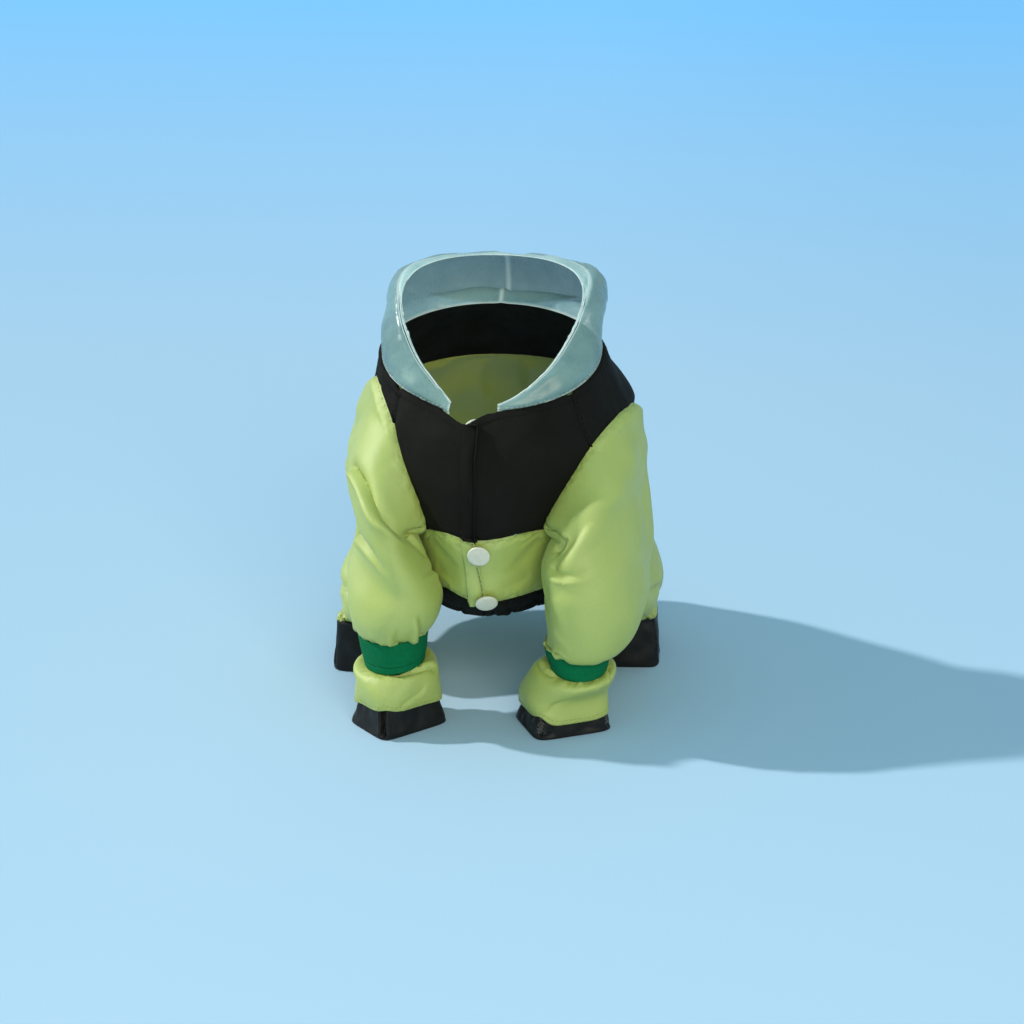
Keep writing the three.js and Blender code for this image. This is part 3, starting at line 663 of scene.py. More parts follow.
# The line where the right front lies under the left, as turn and down.
CENTRE_LINE = np.array([[-5.5, 0], [-5.5, 2], [-6, CHEST_SEAM_DOWN], [-3.5, 5], [0, LIME_END], [1, HEM_END]])
# The seam between the lime belly and the black hem, as turn and down: it rises on the right.
HEM_LINE = np.array([
    [-HEM_TURN, HEM_CORNER], [-44, 6.2], [-25, 6.05], [-10, 6.2], [-4, LIME_END],
    [20, LIME_END], [42, 6.4], [HEM_TURN, HEM_CORNER],
])


def neck_down(turn: Array | float) -> Array:
    """How far down the neckline is at a turn."""
    return np.interp(turn, NECKLINE[:, 0], NECKLINE[:, 1])


def centre_turn(down: Array | float) -> Array:
    """Where the centre line is at a count of rings down."""
    return np.interp(down, CENTRE_LINE[:, 1], CENTRE_LINE[:, 0])


def neck_run(start: float, stop: float, steps: int) -> Array:
    """Fine places along the neckline between two turns."""
    turns = np.linspace(start, stop, steps * FINE + 1)
    folded = np.where(np.abs(turns) > 180, 360 - turns, turns)
    return np.stack([turns, neck_down(folded)], 1)


def centre_run(start: float, stop: float, steps: int) -> Array:
    """Fine places down the centre line between two rings."""
    downs = np.linspace(start, stop, steps * FINE + 1)
    return np.stack([centre_turn(downs), downs], 1)


def hem_run(stop: float, steps: int) -> Array:
    """Fine places along the seam above the hem, from the centre line to a turn."""
    turns = np.linspace(float(centre_turn(LIME_END)), stop, steps * FINE + 1)
    return np.stack([turns, np.interp(turns, HEM_LINE[:, 0], HEM_LINE[:, 1])], 1)


class Seams:
    """Every seam of one side of the body."""

    def __init__(self, side: Side) -> None:
        """Draws the seams of a side."""
        sign = side.value
        runs = ARMHOLES[side]
        self.front, self.top = runs["front"].places(), runs["top"].places()
        self.back, self.bottom = runs["back"].places(), runs["bottom"].places()
        armpit, shoulder, hip = self.front[0], self.front[-1], self.back[-1]
        neck_corner = (sign * SHOULDER_TURN, float(neck_down(sign * SHOULDER_TURN)))
        hem_corner = (sign * HEM_TURN, HEM_CORNER)
        self.shoulder = spread([neck_corner, shoulder], 3 * FINE)
        self.neck = neck_run(float(centre_turn(0)), sign * SHOULDER_TURN, CHEST_STEPS)
        centre = (float(centre_turn(CHEST_SEAM_DOWN)), CHEST_SEAM_DOWN)
        self.chest = spread([centre, (sign * 22, 3.9), armpit], CHEST_STEPS * FINE)
        self.side = spread([hip, (sign * 80, 5.5), hem_corner], 5 * FINE)
        self.lime_end = hem_run(sign * HEM_TURN, HEM_STEPS)
        self.leg = spread([hem_corner, (sign * 88, 5.8), (sign * 116, 5.9), (sign * 140, 7.1)], 8 * FINE)
        self.rear = spread([(sign * 140, 7.1), (sign * 160, 7.0), (sign * 180, 6.9)], 3 * FINE)

    def armhole(self) -> Array:
        """The armhole as one loop, without its first place again at the end."""
        return joined(self.front, self.top, self.back, self.bottom)[:-1]


SEAMS = {side: Seams(side) for side in Side}


def patch(top: Array, bottom: Array, left: Array, right: Array) -> Array:
    """A grid of places inside four edges: top and bottom run one way, left and right the other."""
    u = np.linspace(0, 1, len(top))[None, :, None]
    v = np.linspace(0, 1, len(left))[:, None, None]
    ruled = top[None] * (1 - v) + bottom[None] * v + left[:, None] * (1 - u) + right[:, None] * u
    corners = (top[0] * (1 - u) + top[-1] * u) * (1 - v) + (bottom[0] * (1 - u) + bottom[-1] * u) * v
    return ruled - corners


def drawn_in(points: Array, distance: float) -> Array:
    """A grid with its border drawn in along the surface, so that a rounded rim ends at the seam."""
    moved = points.copy()
    for here, inside in (((0,), (1,)), ((-1,), (-2,))):
        moved[here[0]] += unit(points[inside[0]] - points[here[0]]) * distance
        moved[:, here[0]] += unit(points[:, inside[0]] - points[:, here[0]]) * distance
    return moved


# ---- finishes


class Nodes:
    """Builds one material's nodes in a few words."""

    def __init__(self, name: str) -> None:
        """Starts a material that has only a shader and an output."""
        self.material = bpy.data.materials.new(name)
        self.material.use_nodes = True
        self.tree = self.material.node_tree
        self.tree.nodes.clear()
        self.shader = self.tree.nodes.new("ShaderNodeBsdfPrincipled")
        output = self.tree.nodes.new("ShaderNodeOutputMaterial")
        self.link(self.shader.outputs[0], output.inputs["Surface"])

    def link(self, source: Socket, target: Socket) -> None:
        """Joins two sockets."""
        self.tree.links.new(source, target)

    def put(self, socket: Socket, value: object) -> None:
        """Sets a socket to a number, or links it to another socket."""
        if isinstance(value, Socket):
            self.link(value, socket)
        elif value is not None:
            socket.default_value = value

    def math(self, operation: str, a: object, b: object = None) -> Socket:
        """A Math node's result."""
        node = self.tree.nodes.new("ShaderNodeMath")
        node.operation = operation
        self.put(node.inputs[0], a)
        self.put(node.inputs[1], b)
        return node.outputs[0]

    def noise(
        self, scale: float, detail: float, rough: float, stretch: Sequence[float] = (1.0, 1.0, 1.0)
    ) -> Socket:
        """A Noise Texture's value on Object coordinates.

        Args:
            scale: Waves for each metre.
            detail: How many finer layers it has.
            rough: How strong the finer layers are.
            stretch: The scale's share along each axis.

        Returns:
            The value, about 0 to 1.
        """
        coordinates = self.tree.nodes.new("ShaderNodeTexCoord")
        mapping = self.tree.nodes.new("ShaderNodeMapping")
        mapping.inputs["Scale"].default_value = stretch
        node = self.tree.nodes.new("ShaderNodeTexNoise")
        self.link(coordinates.outputs["Object"], mapping.inputs["Vector"])
        self.link(mapping.outputs[0], node.inputs["Vector"])
        node.inputs["Scale"].default_value = scale
        node.inputs["Detail"].default_value = detail
        node.inputs["Roughness"].default_value = rough
        return node.outputs["Fac"]

    def spread(
        self, value: Socket, low: float, high: float, to: tuple[float, float] = (0, 1)
    ) -> Socket:
        """A value spread from one range to another, held at its ends."""
        node = self.tree.nodes.new("ShaderNodeMapRange")
        self.link(value, node.inputs["Value"])
        for name, number in zip(("From Min", "From Max", "To Min", "To Max"), (low, high, *to)):
            node.inputs[name].default_value = number
        return node.outputs["Result"]

    def blend(self, share: object, one: object, two: object, way: str = "MIX") -> Socket:
        """A Mix node's colour."""
        node = self.tree.nodes.new("ShaderNodeMix")
        node.data_type, node.blend_type = "RGBA", way
        self.put(node.inputs["Factor"], share)
        for socket, value in ((node.inputs["A"], one), (node.inputs["B"], two)):
            self.put(socket, (*value, 1.0) if isinstance(value, tuple) else value)
        return node.outputs["Result"]

    def threads(self, pitch: float) -> Socket:
        """The height of a woven cloth's threads, from its own flat map.

        Args:
            pitch: From one thread to the next, in millimetres.

        Returns:
            A height from 0 to 1.
        """
        flat_map = self.tree.nodes.new("ShaderNodeUVMap")
        flat_map.uv_map = "cloth"
        parts = self.tree.nodes.new("ShaderNodeSeparateXYZ")
        self.link(flat_map.outputs[0], parts.inputs[0])
        turns = math.pi / (pitch * MM)
        across = self.math("MULTIPLY", parts.outputs[0], turns)
        along = self.math("MULTIPLY", parts.outputs[1], turns)
        warp = self.math("ABSOLUTE", self.math("SINE", across))
        weft = self.math("ABSOLUTE", self.math("SINE", along))
        return self.math("MULTIPLY", warp, weft)

    def seam(self) -> Socket:
        """How near a spot is to a seam, 0 to 1."""
        node = self.tree.nodes.new("ShaderNodeAttribute")
        node.attribute_name = "seam"
        return node.outputs["Fac"]

    def bump(self, *layers: tuple[Socket, float]) -> None:
        """Roughens the surface with layers, each a height and its size in millimetres."""
        normal = None
        for height, size in layers:
            node = self.tree.nodes.new("ShaderNodeBump")
            node.inputs["Strength"].default_value = 1.0
            node.inputs["Distance"].default_value = size * MM
            self.link(height, node.inputs["Height"])
            if normal is not None:
                self.link(normal, node.inputs["Normal"])
            normal = node.outputs[0]
        self.link(normal, self.shader.inputs["Normal"])

    def set(self, **values: object) -> None:
        """Sets the shader's sockets by name, with underscores for spaces."""
        for name, value in values.items():
            socket = self.shader.inputs[name.replace("_", " ")]
            self.put(socket, (*value, 1.0) if isinstance(value, tuple) and len(value) == 3 else value)


@dataclass(frozen=True)
class Finish:
    """What the finishes share: a name, a colour, and a material that each kind lays in its own way."""

    name: str
    colour: Colour

    def lay(self, n: Nodes) -> None:
        """Lays the finish's nodes."""
        raise NotImplementedError

    def material(self) -> Material:
        """Makes the finish as a material."""
        nodes = Nodes(self.name)
        self.lay(nodes)
        return nodes.material


@dataclass(frozen=True)
class WovenFinish(Finish):
    """Woven cloth: fine threads, a soft sheen, a little crinkle, and painted shade that slightly darkens the
    seams and rims.
    """

    shade: Colour  # the darker tone that it drifts to
    roughness: float
    sheen: float
    pitch: float  # from thread to thread, in millimetres
    thread: float  # height of the threads
    crinkle: float  # height of the crinkles
    # how strongly painted shade darkens the seams and rims
    seam_tone: float  # how much darker the seams are
    gloss: float  # how strongly light glances off the threads

    def lay(self, n: Nodes) -> None:
        """Lays the finish's nodes."""
        drift = n.spread(n.noise(28, 3, 0.55), 0.35, 0.7)
        tone = n.blend(drift, self.colour, self.shade)
        threads = n.threads(self.pitch)
        grain = n.spread(threads, 0.0, 1.0, (0.86, 1.04))
        # painted shade: darker along seams and rims, broken up by noise
        painted_seam_shade = n.math("MULTIPLY", n.seam(), n.spread(n.noise(240, 2, 0.6), 0.3, 0.75))
        grain = n.math("MULTIPLY", grain, n.spread(n.noise(1500, 2, 0.6), 0.25, 0.75, (0.93, 1.06)))
        shade = n.math("SUBTRACT", grain, n.math("MULTIPLY", painted_seam_shade, self.seam_tone))
        grey = n.tree.nodes.new("ShaderNodeCombineColor")
        for socket in grey.inputs[:3]:
            n.link(shade, socket)
        n.set(
            Base_Color=n.blend(1.0, tone, grey.outputs[0], "MULTIPLY"),
            Roughness=n.spread(
                n.noise(60, 3, 0.6), 0.3, 0.7, (self.roughness - 0.07, self.roughness + 0.08)
            ),
            Sheen_Weight=self.sheen,
            Sheen_Roughness=0.3,
            Specular_IOR_Level=self.gloss,
        )
        n.bump(
            (n.noise(95, 4, 0.62), self.crinkle),
            (n.noise(330, 2, 0.5, (1, 1, 0.45)), self.crinkle * 0.25),
            (threads, self.thread),
        )


@dataclass(frozen=True)
class RibFinish(Finish):
    """Dense elastic rib: fuzzy yarn with tiny rows of stitches."""

    shade: Colour
    pitch: float = 0.55  # from stitch to stitch, in millimetres

    def lay(self, n: Nodes) -> None:
        """Lays the finish's nodes."""
        stitches = n.threads(self.pitch)
        tone = n.blend(n.spread(n.noise(420, 3, 0.6), 0.2, 0.9), self.colour, self.shade)
        n.set(
            Base_Color=n.blend(n.spread(stitches, 0, 1, (0.2, 0.0)), tone, self.shade),
            Roughness=0.86,
            Specular_IOR_Level=0.12,
        )
        n.bump((n.noise(600, 3, 0.6), 0.05), (stitches, 0.05))


@dataclass(frozen=True)
class CoatedFinish(Finish):
    """Coated black cloth: satin, with cracked glossier creases that carry painted glints, and scuffed edges.
    """

    scuffed: Colour
    # the painted glint: a highlight colour painted into the base colour at the creases
    glint: Colour

    def lay(self, n: Nodes) -> None:
        """Lays the finish's nodes."""
        fine = n.noise(1500, 3, 0.6)
        cracks = n.math("MULTIPLY", n.spread(n.noise(620, 4, 0.7, (1, 1, 0.5)), 0.42, 0.58), n.seam())
        scuffs = n.math("MULTIPLY", n.spread(n.noise(150, 4, 0.7), 0.5, 0.75), 0.4)
        # painted glints: specks of highlight painted into the base colour near the creases
        glints = n.spread(n.math("MULTIPLY", n.noise(2900, 3, 0.7, (1, 1, 0.3)), n.seam()), 0.46, 0.6)
        dull = n.spread(n.noise(260, 4, 0.7), 0.35, 0.65, (0.42, 0.6))
        n.set(
            Base_Color=n.blend(glints, n.blend(scuffs, self.colour, self.scuffed), self.glint),
            Roughness=n.math("SUBTRACT", dull, n.math("MULTIPLY", n.seam(), 0.26)),
            Specular_IOR_Level=0.22,
            Coat_Weight=0.05,
            Coat_Roughness=0.2,
        )
        n.bump((n.noise(60, 2, 0.5), 0.2), (cracks, 0.55), (fine, 0.07))


@dataclass(frozen=True)
class FilmFinish(Finish):
    """Thin see-through film with fine streaks."""

    shade: Colour
    alpha: float
    seam: Colour = (0.74, 0.86, 0.84)  # two layers, where pieces are sewn together

    def lay(self, n: Nodes) -> None:
        """Lays the finish's nodes."""
        streaks = n.noise(900, 2, 0.5, (1, 1, 0.12))
        tone = n.blend(n.spread(n.noise(40, 3, 0.6), 0.35, 0.7), self.colour, self.shade)
        n.set(
            Base_Color=n.blend(n.spread(n.seam(), 0.45, 1.0, (0.0, 0.9)), tone, self.seam),
            Roughness=n.spread(streaks, 0.3, 0.7, (0.24, 0.4)),
            Alpha=self.alpha,
            Specular_IOR_Level=0.55,
            Coat_Weight=0.15,
        )
        n.bump((n.noise(75, 3, 0.55), 0.3), (streaks, 0.12))


@dataclass(frozen=True)
class ResinFinish(Finish):
    """Moulded snap resin, faintly mottled and rubbed."""

    shade: Colour

    def lay(self, n: Nodes) -> None:
        """Lays the finish's nodes."""
        n.set(
            Base_Color=n.blend(n.spread(n.noise(300, 3, 0.6), 0.3, 0.75), self.colour, self.shade),
            Roughness=n.spread(n.noise(700, 3, 0.6), 0.3, 0.7, (0.26, 0.42)),
            Specular_IOR_Level=0.5,
        )
        n.bump((n.noise(900, 2, 0.5), 0.02))


@dataclass(frozen=True)
class ThreadFinish(Finish):
    """Sewing thread, twisted and slightly fuzzy."""


    def lay(self, n: Nodes) -> None:
        """Lays the finish's nodes."""
        fuzz = n.noise(2600, 2, 0.6)
        dark = tuple(0.6 * part for part in self.colour)
        n.set(
            Base_Color=n.blend(n.spread(fuzz, 0.3, 0.7), self.colour, dark),
            Roughness=0.85,
            Specular_IOR_Level=0.1,
        )
        n.bump((fuzz, 0.05))


class Finishes:
    """The coat's finishes, made once."""

    def __init__(self) -> None:
        """Makes every material."""
        self.lime = WovenFinish(
            "lime_taffeta", (0.425, 0.51, 0.112), (0.385, 0.47, 0.095), roughness=0.5, sheen=0.1,
            pitch=0.32, thread=0.035, crinkle=0.14, seam_tone=0.28, gloss=1.0,
        ).material()
        self.black = WovenFinish(
            "black_shell", (0.0065, 0.006, 0.0045), (0.005, 0.0047, 0.0035), roughness=0.7, sheen=0.0,
            pitch=0.4, thread=0.05, crinkle=0.12, seam_tone=0.2, gloss=0.12,
        ).material()
        self.rib = RibFinish("green_rib", (0.0008, 0.15, 0.058), (0.0004, 0.105, 0.038)).material()
        self.boot = CoatedFinish(
            "coated_boot_cloth", (0.006, 0.0062, 0.006), (0.016, 0.017, 0.017), (0.20, 0.215, 0.215)
        ).material()
        self.film = FilmFinish("hood_film", (0.26, 0.42, 0.41), (0.17, 0.31, 0.32), alpha=0.62).material()
        self.casing = FilmFinish("brim_casing", (0.45, 0.63, 0.62), (0.34, 0.53, 0.53), alpha=0.8).material()
        self.snap = ResinFinish("snap_resin", (0.66, 0.645, 0.52), (0.58, 0.565, 0.45)).material()
        self.lime_thread = ThreadFinish("lime_thread", (0.36, 0.45, 0.1)).material()
        self.black_thread = ThreadFinish("black_thread", (0.004, 0.004, 0.0035)).material()
        self.pale_thread = ThreadFinish("pale_thread", (0.55, 0.68, 0.66)).material()


# ---- stitches


STITCH_SEED = 7


class StitchTree:
    """A Geometry Nodes tree that sews rows of stitches along lines, each one a short raised thread."""

    def __init__(self) -> None:
        """Builds the tree, with its sizes as named inputs."""
        self.tree = bpy.data.node_groups.new("stitches", "GeometryNodeTree")
        interface = self.tree.interface
        interface.new_socket("Geometry", in_out="INPUT", socket_type="NodeSocketGeometry")
        interface.new_socket("Geometry", in_out="OUTPUT", socket_type="NodeSocketGeometry")
        for name, kind, value in (
            ("Pitch", "NodeSocketFloat", 0.0029),
            ("Length", "NodeSocketFloat", 0.0021),
            ("Thickness", "NodeSocketFloat", 0.00036),
            ("Unevenness", "NodeSocketFloat", 0.12),
            ("Seed", "NodeSocketInt", STITCH_SEED),
            ("Thread", "NodeSocketMaterial", None),
        ):
            socket = interface.new_socket(name, in_out="INPUT", socket_type=kind)
            if value is not None:
                socket.default_value = value
        self.inputs = self.tree.nodes.new("NodeGroupInput")
        self.wire()

    def node(
        self, kind: str, *plugs: object, ways: dict[str, str] | None = None, **sockets: object
    ) -> bpy.types.Node:
        """Adds a node.

        Args:
            kind: The node's type.
            plugs: Values or sockets for its first inputs, in order.
            ways: The node's own settings, by name.
            sockets: Values or sockets for named inputs, with underscores for spaces.

        Returns:
            The new node.
        """
        node = self.tree.nodes.new(kind)
        for name, way in (ways or {}).items():
            setattr(node, name, way)
        named = [(node.inputs[name.replace("_", " ")], value) for name, value in sockets.items()]
        for socket, value in [*zip(node.inputs, plugs), *named]:
            if isinstance(value, Socket):
                self.tree.links.new(value, socket)
            else:
                socket.default_value = value
        return node

    def wire(self) -> None:
        """Joins the nodes: lines to curves, one thread at each step, and the threads made real."""
        given = self.inputs.outputs
        curve = self.node("GeometryNodeMeshToCurve", given["Geometry"])
        steps = self.node(
            "GeometryNodeResampleCurve",
            ways={"mode": "LENGTH"},
            Curve=curve.outputs[0],
            Length=given["Pitch"],
        )
        along = self.node("GeometryNodeInputTangent")
        lengthwise = self.node(
            "FunctionNodeAlignRotationToVector", ways={"axis": "X"}, Vector=along.outputs[0]
        )
        facing = self.node(
            "GeometryNodeInputNamedAttribute", ways={"data_type": "FLOAT_VECTOR"}, Name="facing"
        )
        upright = self.node(
            "FunctionNodeAlignRotationToVector",
            ways={"axis": "Z", "pivot_axis": "X"},
            Rotation=lengthwise.outputs[0],
            Vector=facing.outputs["Attribute"],
        )
        low = self.node("ShaderNodeMath", 1.0, given["Unevenness"], ways={"operation": "SUBTRACT"})
        high = self.node("ShaderNodeMath", 1.0, given["Unevenness"], ways={"operation": "ADD"})
        draw = self.node("FunctionNodeRandomValue", ways={"data_type": "FLOAT"}, Seed=given["Seed"])
        numbers = [socket for socket in draw.inputs if socket.enabled]
        for socket, end in zip(numbers, (low, high)):
            self.tree.links.new(end.outputs[0], socket)
        size = next(socket for socket in draw.outputs if socket.enabled)
        bead = self.node("GeometryNodeMeshIcoSphere", Radius=0.5, Subdivisions=1)
        thick = given["Thickness"]
        shape = self.node("ShaderNodeCombineXYZ", given["Length"], thick, thick)
        thread = self.node("GeometryNodeTransform", Geometry=bead.outputs["Mesh"], Scale=shape.outputs[0])
        sewn = self.node(
            "GeometryNodeInstanceOnPoints",
            Points=steps.outputs[0],
            Instance=thread.outputs[0],
            Rotation=upright.outputs[0],
            Scale=size,
        )
        real = self.node("GeometryNodeRealizeInstances", sewn.outputs[0])
        dyed = self.node("GeometryNodeSetMaterial", real.outputs[0], Material=given["Thread"])
        self.node("NodeGroupOutput", dyed.outputs[0])


@dataclass
class Sewing:
    """Collects the lines to be sewn in each thread, and sews them at the end."""

    lines: dict[str, list[tuple[Array, Array]]] = field(default_factory=dict)

    def line(self, thread: str, points: Array, facing: Array) -> None:
        """Notes a line of stitches.

        Args:
            thread: The thread's name among the finishes.
            points: Places along the line, in millimetres above the ground.
            facing: The cloth's normals there.
        """
        self.lines.setdefault(thread, []).append((points, facing))

    def beside(self, cloth: Cloth, thread: str, **distances: float) -> None:
        """Notes a line beside each named border of a cloth, at a distance in millimetres."""
        for border, distance in distances.items():
            self.line(thread, *cloth.beside(border, distance))

    def sew(self, finishes: Finishes) -> None:
        """Sews every line, as one piece for each thread."""
        tree = StitchTree().tree
        sockets = tree.interface.items_tree
        names = {socket.name: socket.identifier for socket in sockets if socket.in_out == "INPUT"}
        for number, (thread, lines) in enumerate(self.lines.items()):
            points = np.concatenate([line for line, _ in lines])
            edges, start = [], 0
            for line, _ in lines:
                edges.extend((start + i, start + i + 1) for i in range(len(line) - 1))
                start += len(line)
            wires = bpy.data.meshes.new(f"{thread}_lines")
            wires.from_pydata(((points - WITHERS) * MM).tolist(), edges, [])
            facing = np.concatenate([way for _, way in lines]).astype(np.float32)
            wires.attributes.new("facing", "FLOAT_VECTOR", "POINT").data.foreach_set("vector", facing.ravel())
            source = new_object(f"{thread}_lines", wires)
            modifier = source.modifiers.new("stitches", "NODES")
            modifier.node_group = tree
            modifier[names["Seed"]] = STITCH_SEED + number
            modifier[names["Thread"]] = getattr(finishes, thread)
            sewn = source.evaluated_get(bpy.context.evaluated_depsgraph_get())
            mesh = bpy.data.meshes.new_from_object(sewn)
            mesh.shade_smooth()
            bpy.data.objects.remove(source)
            bpy.data.meshes.remove(wires)
            obj = new_object(f"{thread}_stitches", mesh)
            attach(obj, "root")
            log.info("%s: %d lines, %d faces", obj.name, len(lines), len(mesh.polygons))


# ---- the body's panels


# Places on the body's panels are turn and down. Each fold has its path, width, depth, lip, the lip's
# side, how sharp it is, and over what shares of its length it fades in and out.
BELLY_FOLDS = {
    Side.RIGHT: (
        # the dent under the armpit, and small creases out of the seam's corner
        Fold(((-37, 4.3), (-31, 4.55), (-22, 4.85), (-14, 5.0)), 6.5, 1.8, 0.25, 1, 0.9),
        Fold(((-35, 4.12), (-28, 4.2), (-20, 4.28)), 2.2, 0.9, 0.7, 1, 0.3),
        Fold(((-34, 5.3), (-24, 5.5), (-13, 5.45)), 5.0, 1.0, 0.35, -1, 0.9, (0.2, 0.5)),
    ),
    Side.LEFT: (
        Fold(((38, 4.3), (32, 4.6), (24, 5.0), (14, 5.2)), 7.0, 1.8, 0.25, -1, 0.9),
        Fold(((36, 4.12), (30, 4.22), (23, 4.26)), 2.2, 0.9, 0.7, -1, 0.3),
        Fold(((34, 5.5), (24, 5.7), (13, 5.6)), 5.0, 1.0, 0.35, 1, 0.9, (0.2, 0.5)),
    ),
}
BACK_FOLDS = (
    # out of the armholes' lowest corners, towards the spine
    Fold(((110, 3.3), (126, 4.1), (144, 4.5), (160, 4.6)), 6.0, 2.2, 0.4, 1, 0.55, (0.4, 0.5)),
    Fold(((250, 3.3), (234, 4.2), (216, 4.8), (198, 5.0)), 6.0, 2.2, 0.4, -1, 0.55, (0.4, 0.5)),
    Fold(((100, 4.7), (120, 5.3), (142, 5.5), (158, 5.2)), 5.5, 2.0, 0.4, -1, 0.55, (0.4, 0.5)),
    Fold(((256, 4.8), (240, 5.5), (220, 5.9), (204, 5.9)), 5.5, 2.0, 0.4, 1, 0.55, (0.4, 0.5)),
    # loose drape down the middle
    Fold(((171, 3.1), (173, 4.0), (169, 4.9), (174, 5.8)), 8.0, 1.9, 0.6, 1, 0.5, (0.1, 0.5)),
    Fold(((192, 3.1), (196, 4.1), (190, 5.0)), 7.0, 1.6, 0.6, -1, 0.5, (0.1, 0.6)),
    # up from the hind legs and the seat
    Fold(((142, 6.9), (150, 6.1), (155, 5.6)), 4.5, 2.2, 0.4, 1, 0.55),
    Fold(((218, 6.9), (210, 6.2), (206, 5.5)), 4.5, 2.0, 0.4, -1, 0.55),
    Fold(((181, 6.8), (178, 6.2), (183, 5.6)), 4.5, 1.4, 0.7, 1, 0.4),
    Fold(((92, 5.6), (108, 5.5), (122, 5.8)), 4.0, 1.8, 0.4, 1, 0.55),
    Fold(((268, 5.6), (252, 5.5), (238, 5.9)), 4.0, 1.8, 0.4, -1, 0.55),
)
HEM_FOLDS = {
    Side.RIGHT: (Fold(((-16, 6.3), (-15, 6.8), (-17, 7.2)), 3.0, 1.2, 0.7, 1, 0.4, (0.1, 0.05)),),
    Side.LEFT: (
        Fold(((6, 6.4), (7, 6.8), (8, 7.2)), 2.6, 1.4, 0.8, 1, 0.3, (0.1, 0.05)),
        Fold(((19, 6.4), (18, 6.8), (19, 7.2)), 3.2, 1.3, 0.8, -1, 0.4, (0.1, 0.05)),
        Fold(((33, 6.5), (34, 6.9), (33, 7.2)), 3.5, 1.2, 0.7, 1, 0.4, (0.1, 0.05)),
    ),
}


